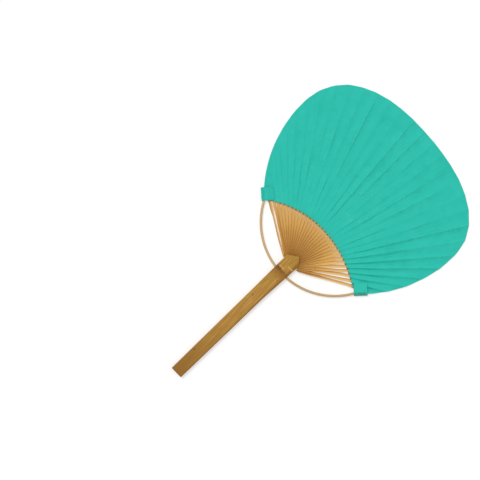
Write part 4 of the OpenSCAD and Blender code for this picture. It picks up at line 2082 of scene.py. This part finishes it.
                room = blend(rooms[near], plan.glue / 2.0, fall * smooth(0.0, self.press_fall, press))
                inner = max(middle, plan.paper + room + self.least_gap) + self.face.value * room
                # Painted shade in the crease beside each rib's edge, and worn dye with painted highlight on
                # the ridge.
                fallen = smooth(0.0, self.ridge_reach, share * width)
                valley = fallen * (1.0 - smooth(*valley_ends, share * width)) * crease
                ridge = crease * (1.0 - fallen)
                values = {"ridge": ridge, "valley": valley, "shade": self.inner_shade(row)}
                line.append(self.at(start.xy.lerp(end.xy, share), inner, row, values))
        return lines

    def bridge(self, ends: list[float], tilts: list[float], width: float, share: float) -> float:
        """Returns the height of the pasted paper between two ribs.

        Args:
            ends: Heights at the right edge of the left rib and at the left edge of the right rib.
            tilts: Tilts of both ribs.
            width: Distance between these edges.
            share: Place between them, from 0 to 1.

        Returns:
            The height, on a curve that leaves both ribs at about their tilt.
        """
        lift = self.bridge_lift * min(width, self.bridge_reach)
        leave, arrive = (lift * math.tan(tilt) for tilt in tilts)
        rest = 1.0 - share
        hill = share * rest * (rest * leave - share * arrive)
        return blend(*ends, smooth(0.0, 1.0, share)) + hill

    def slack(self, index: int, radius: float, width: float, share: float) -> float:
        """Finds how far slack paper stands over or under its taut height between two ribs.

        Args:
            index: Number of the rib, from the left.
            radius: Distance from the centre of the ribs.
            width: Distance between the edges of both ribs.
            share: Place between them, from 0 to 1.

        Returns:
            The height, which is negative below.
        """
        bulge = sum(wander.at(radius, index) for wander in self.bulges)
        pucker = self.pucker.at(radius, index, share * width * self.pucker_pace)
        return 4.0 * share * (1.0 - share) * min(1.0, width / self.slack_width) * (bulge + pucker)

    def corner_line(self, side: float, share: float) -> list[Placed]:
        """Lays one line of points between an outermost rib and the corner, over the end of the bow.

        Args:
            side: -1 for the left side and 1 for the right one.
            share: Place between the rib, at 0, and the corner, at 1.

        Returns:
            The points and their numbers.
        """
        plan = self.plan
        index = 0 if side < 0.0 else plan.rib_count - 1
        edge = self.rib_line(index, side)
        line = []
        for row in range(self.rows):
            start = edge[row][0]
            near = abs(math.atan2(start.x, start.y))
            angle = side * blend(near, plan.last_angle(side), share)
            point = polar(self.radius_at(angle, row), angle)
            # Painted shade along the cut edge.
            shade = self.corner_shade * self.inner_shade(row)
            beside = start.z - self.face.value * plan.paper / 2.0
            inner = blend(beside, plan.pocket_z(point, self.face), smooth(0.0, self.corner_fall, share))
            line.append(self.at(point, inner, row, {"ridge": 0.0, "valley": 0.0, "shade": shade}))
        return line


@dataclass
class CornerTab:
    """A strip of paper folded round the slanting edge of the leaf, over the end of the bow."""

    plan: FanPlan
    corner: Corner
    rows: int = 22
    columns_back: int = 10
    columns_fold: int = 12
    columns_front: int = 16
    skew: Wander = Wander(90.0, 0.45, 1.3)
    free_play: Wander = Wander(94.0, 0.5, 2.5)
    puff_play: Wander = Wander(97.0, 0.09, 0.25)
    skew_run: float = 3.0
    near_skew: float = 0.5
    far_inset: float = 0.15
    free_share: float = 0.8
    fold_shade: Span = (0.6, 1.3)
    fold_span: Span = (-2.4, -0.8)
    end_shade: float = 0.4
    end_reach: float = 0.1
    edge_worn: float = 0.4
    right_shade: float = 0.5
    shade_span: Span = (-1.3, -0.2)
    soft_steps: tuple[float, ...] = (-0.9, -0.3, 0.3, 0.9)
    sharp_angle: float = 50.0

    def build(self) -> bpy.types.Object:
        """Builds the tab.

        Returns:
            The object.
        """
        side = self.corner.name.lower()
        builder = Builder(f"{side}_corner_tab", ("ridge", "valley", "rim", "shade"))
        columns = self.columns_back + self.columns_fold + self.columns_front + 1
        builder.grid(columns, self.rows, lambda column, row: self.at(column, row, columns))
        builder.thicken(self.plan.tab_thickness)
        finish = PaperFinish(f"{side}_tab_paper", dye=paint(46, 189, 171), seed=70.0 + self.corner.value)
        return builder.finish([finish.make()], self.sharp_angle, "tab_paper", f"corner_patch_{side}")

    def profile(self, column: int) -> tuple[float, float, Vector]:
        """Returns a point of the folded strip's middle, seen along the fold.

        Args:
            column: Number of the point, from the free end at the back to the one at the front.

        Returns:
            The distance past the fold, the height, and the outward direction there.
        """
        plan = self.plan
        half = plan.tab_thickness / 2.0
        bend = plan.tab_height / 2.0 - half
        if column <= self.columns_back:
            share = column / self.columns_back
            return blend(-plan.tab_reach, 0.0, share), half, Vector((0.0, -1.0))
        if column <= self.columns_back + self.columns_fold:
            turn = math.pi * (column - self.columns_back) / self.columns_fold - math.pi / 2.0
            outward = Vector((math.cos(turn), math.sin(turn)))
            return bend * outward.x, plan.tab_height / 2.0 + bend * outward.y, outward
        share = (column - self.columns_back - self.columns_fold) / self.columns_front
        past = -plan.tab_reach * share
        heights = [plan.tab_z(self.corner.value, past + step) for step in self.soft_steps]
        return past, sum(heights) / len(heights) + half, Vector((0.0, 1.0))

    def at(self, column: int, row: int, columns: int) -> Placed:
        """Places a point of the tab.

        Args:
            column: Number of the point, from the free end at the back to the one at the front.
            row: Number of the point along the fold.
            columns: How many points there are from one free end to the other.

        Returns:
            The place and the numbers of the point.
        """
        plan = self.plan
        side = self.corner.value
        past, height, outward = self.profile(column)
        share = row / (self.rows - 1)
        reach = past / plan.tab_reach
        skew = self.skew.at(reach, side) * min(1.0, abs(past) / self.skew_run)
        skew = skew - self.far_inset if share > 0.5 else skew * self.near_skew
        along = plan.tab_from + plan.tab_length * share + skew
        free = max(0.0, -reach - self.free_share) / (1.0 - self.free_share)
        past += free * self.free_play.at(share, side)
        puff = self.puff_play.size + self.puff_play.at(along, side, past * self.puff_play.pace)
        past += outward.x * puff
        height += max(0.0, outward.y) * puff
        flat = plan.corner + plan.fold_direction(side) * along + plan.fold_outward(side) * past
        rim = row in (0, self.rows - 1) or column in (0, columns - 1)
        # Painted shade along the fold and at the tab's first end; the right tab also gets olive painted
        # shade by its fold.
        end = self.end_shade * (1.0 - smooth(0.0, self.end_reach, share))
        values = {
            "ridge": 0.0,
            "valley": smooth(*self.fold_span, past) * self.fold_shade[side > 0] + end,
            "rim": self.edge_worn if rim else 0.0,
            "shade": 0.0 if side < 0 else self.right_shade * smooth(*self.shade_span, past),
        }
        return Vector((plan.leaf_shift + side * flat.x, flat.y, height)), values


@dataclass
class Studio:
    """A pale floor, soft light from the upper left of the picture, and the camera straight above the fan."""

    view_x: float = -52.0
    view_y: float = -16.2
    view_turn: float = math.radians(45.9)
    view_field: float = 480.0
    lens: float = 85.0
    sensor: float = 36.0
    floor_reach: float = 6.0
    floor_grey: float = 0.56
    floor_glow: float = 0.46
    fill: float = 0.68
    key: float = 0.34
    key_height: float = math.radians(56.0)
    key_from: float = math.radians(172.0)
    key_softness: float = math.radians(24.0)

    def build(self) -> None:
        """Sets up the floor, the light and the camera."""
        self.add_floor()
        self.add_light()
        self.add_camera()
        bpy.context.scene.view_settings.view_transform = "Standard"

    def add_floor(self) -> None:
        """Adds the floor that the fan lies on."""
        mesh = bmesh.new()
        bmesh.ops.create_grid(mesh, x_segments=1, y_segments=1, size=self.floor_reach)
        data = mesh_of("floor", mesh)
        recipe = Recipe("white_paper_floor")
        diffuse = recipe.node("BsdfDiffuse", inputs={"Color": (self.floor_grey,) * 3})
        glow = recipe.node("Emission", inputs={"Color": (1.0, 1.0, 1.0), "Strength": self.floor_glow})
        both = recipe.node("AddShader", inputs={0: diffuse, 1: glow})
        recipe.add("OutputMaterial", inputs={"Surface": both})
        data.materials.append(recipe.material)
        floor = add_object("floor", data)

    def add_light(self) -> None:
        """Adds an even white sky, and one soft lamp low from the left of the fan."""
        world = bpy.data.worlds.new("studio")
        bpy.context.scene.world = world
        world.use_nodes = True
        sky = world.node_tree.nodes["Background"]
        sky.inputs["Color"].default_value = (1.0, 1.0, 1.0, 1.0)
        sky.inputs["Strength"].default_value = self.fill
        lamp = bpy.data.lights.new("key", "SUN")
        lamp.energy = self.key * math.pi / math.sin(self.key_height)
        lamp.angle = self.key_softness
        flat = math.cos(self.key_height)
        height = math.sin(self.key_height)
        toward = Vector((math.cos(self.key_from) * flat, math.sin(self.key_from) * flat, height))
        add_object("key", lamp).rotation_euler = toward.to_track_quat("Z", "Y").to_euler()

    def add_camera(self) -> None:
        """Adds the camera, straight above the middle of the picture and turned as the fan lies in it."""
        lens = bpy.data.cameras.new("camera")
        lens.lens = self.lens
        lens.sensor_width = self.sensor
        camera = add_object("camera", lens)
        height = self.view_field * self.lens / self.sensor * MM
        camera.location = (self.view_x * MM, self.view_y * MM, height)
        camera.rotation_euler = (0.0, 0.0, self.view_turn)
        bpy.context.scene.camera = camera


def main() -> None:
    """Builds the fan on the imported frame, and the studio round it."""
    logging.basicConfig(level=logging.INFO, format="%(message)s")
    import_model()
    plan = FanPlan()
    BambooSlat(plan).build()
    Bow(plan).build()
    for face in Face:
        Sheet(plan, face).build()
    for corner in Corner:
        CornerTab(plan, corner).build()
    Studio().build()
    bpy.context.view_layer.update()


if __name__ == "__main__":
    main()
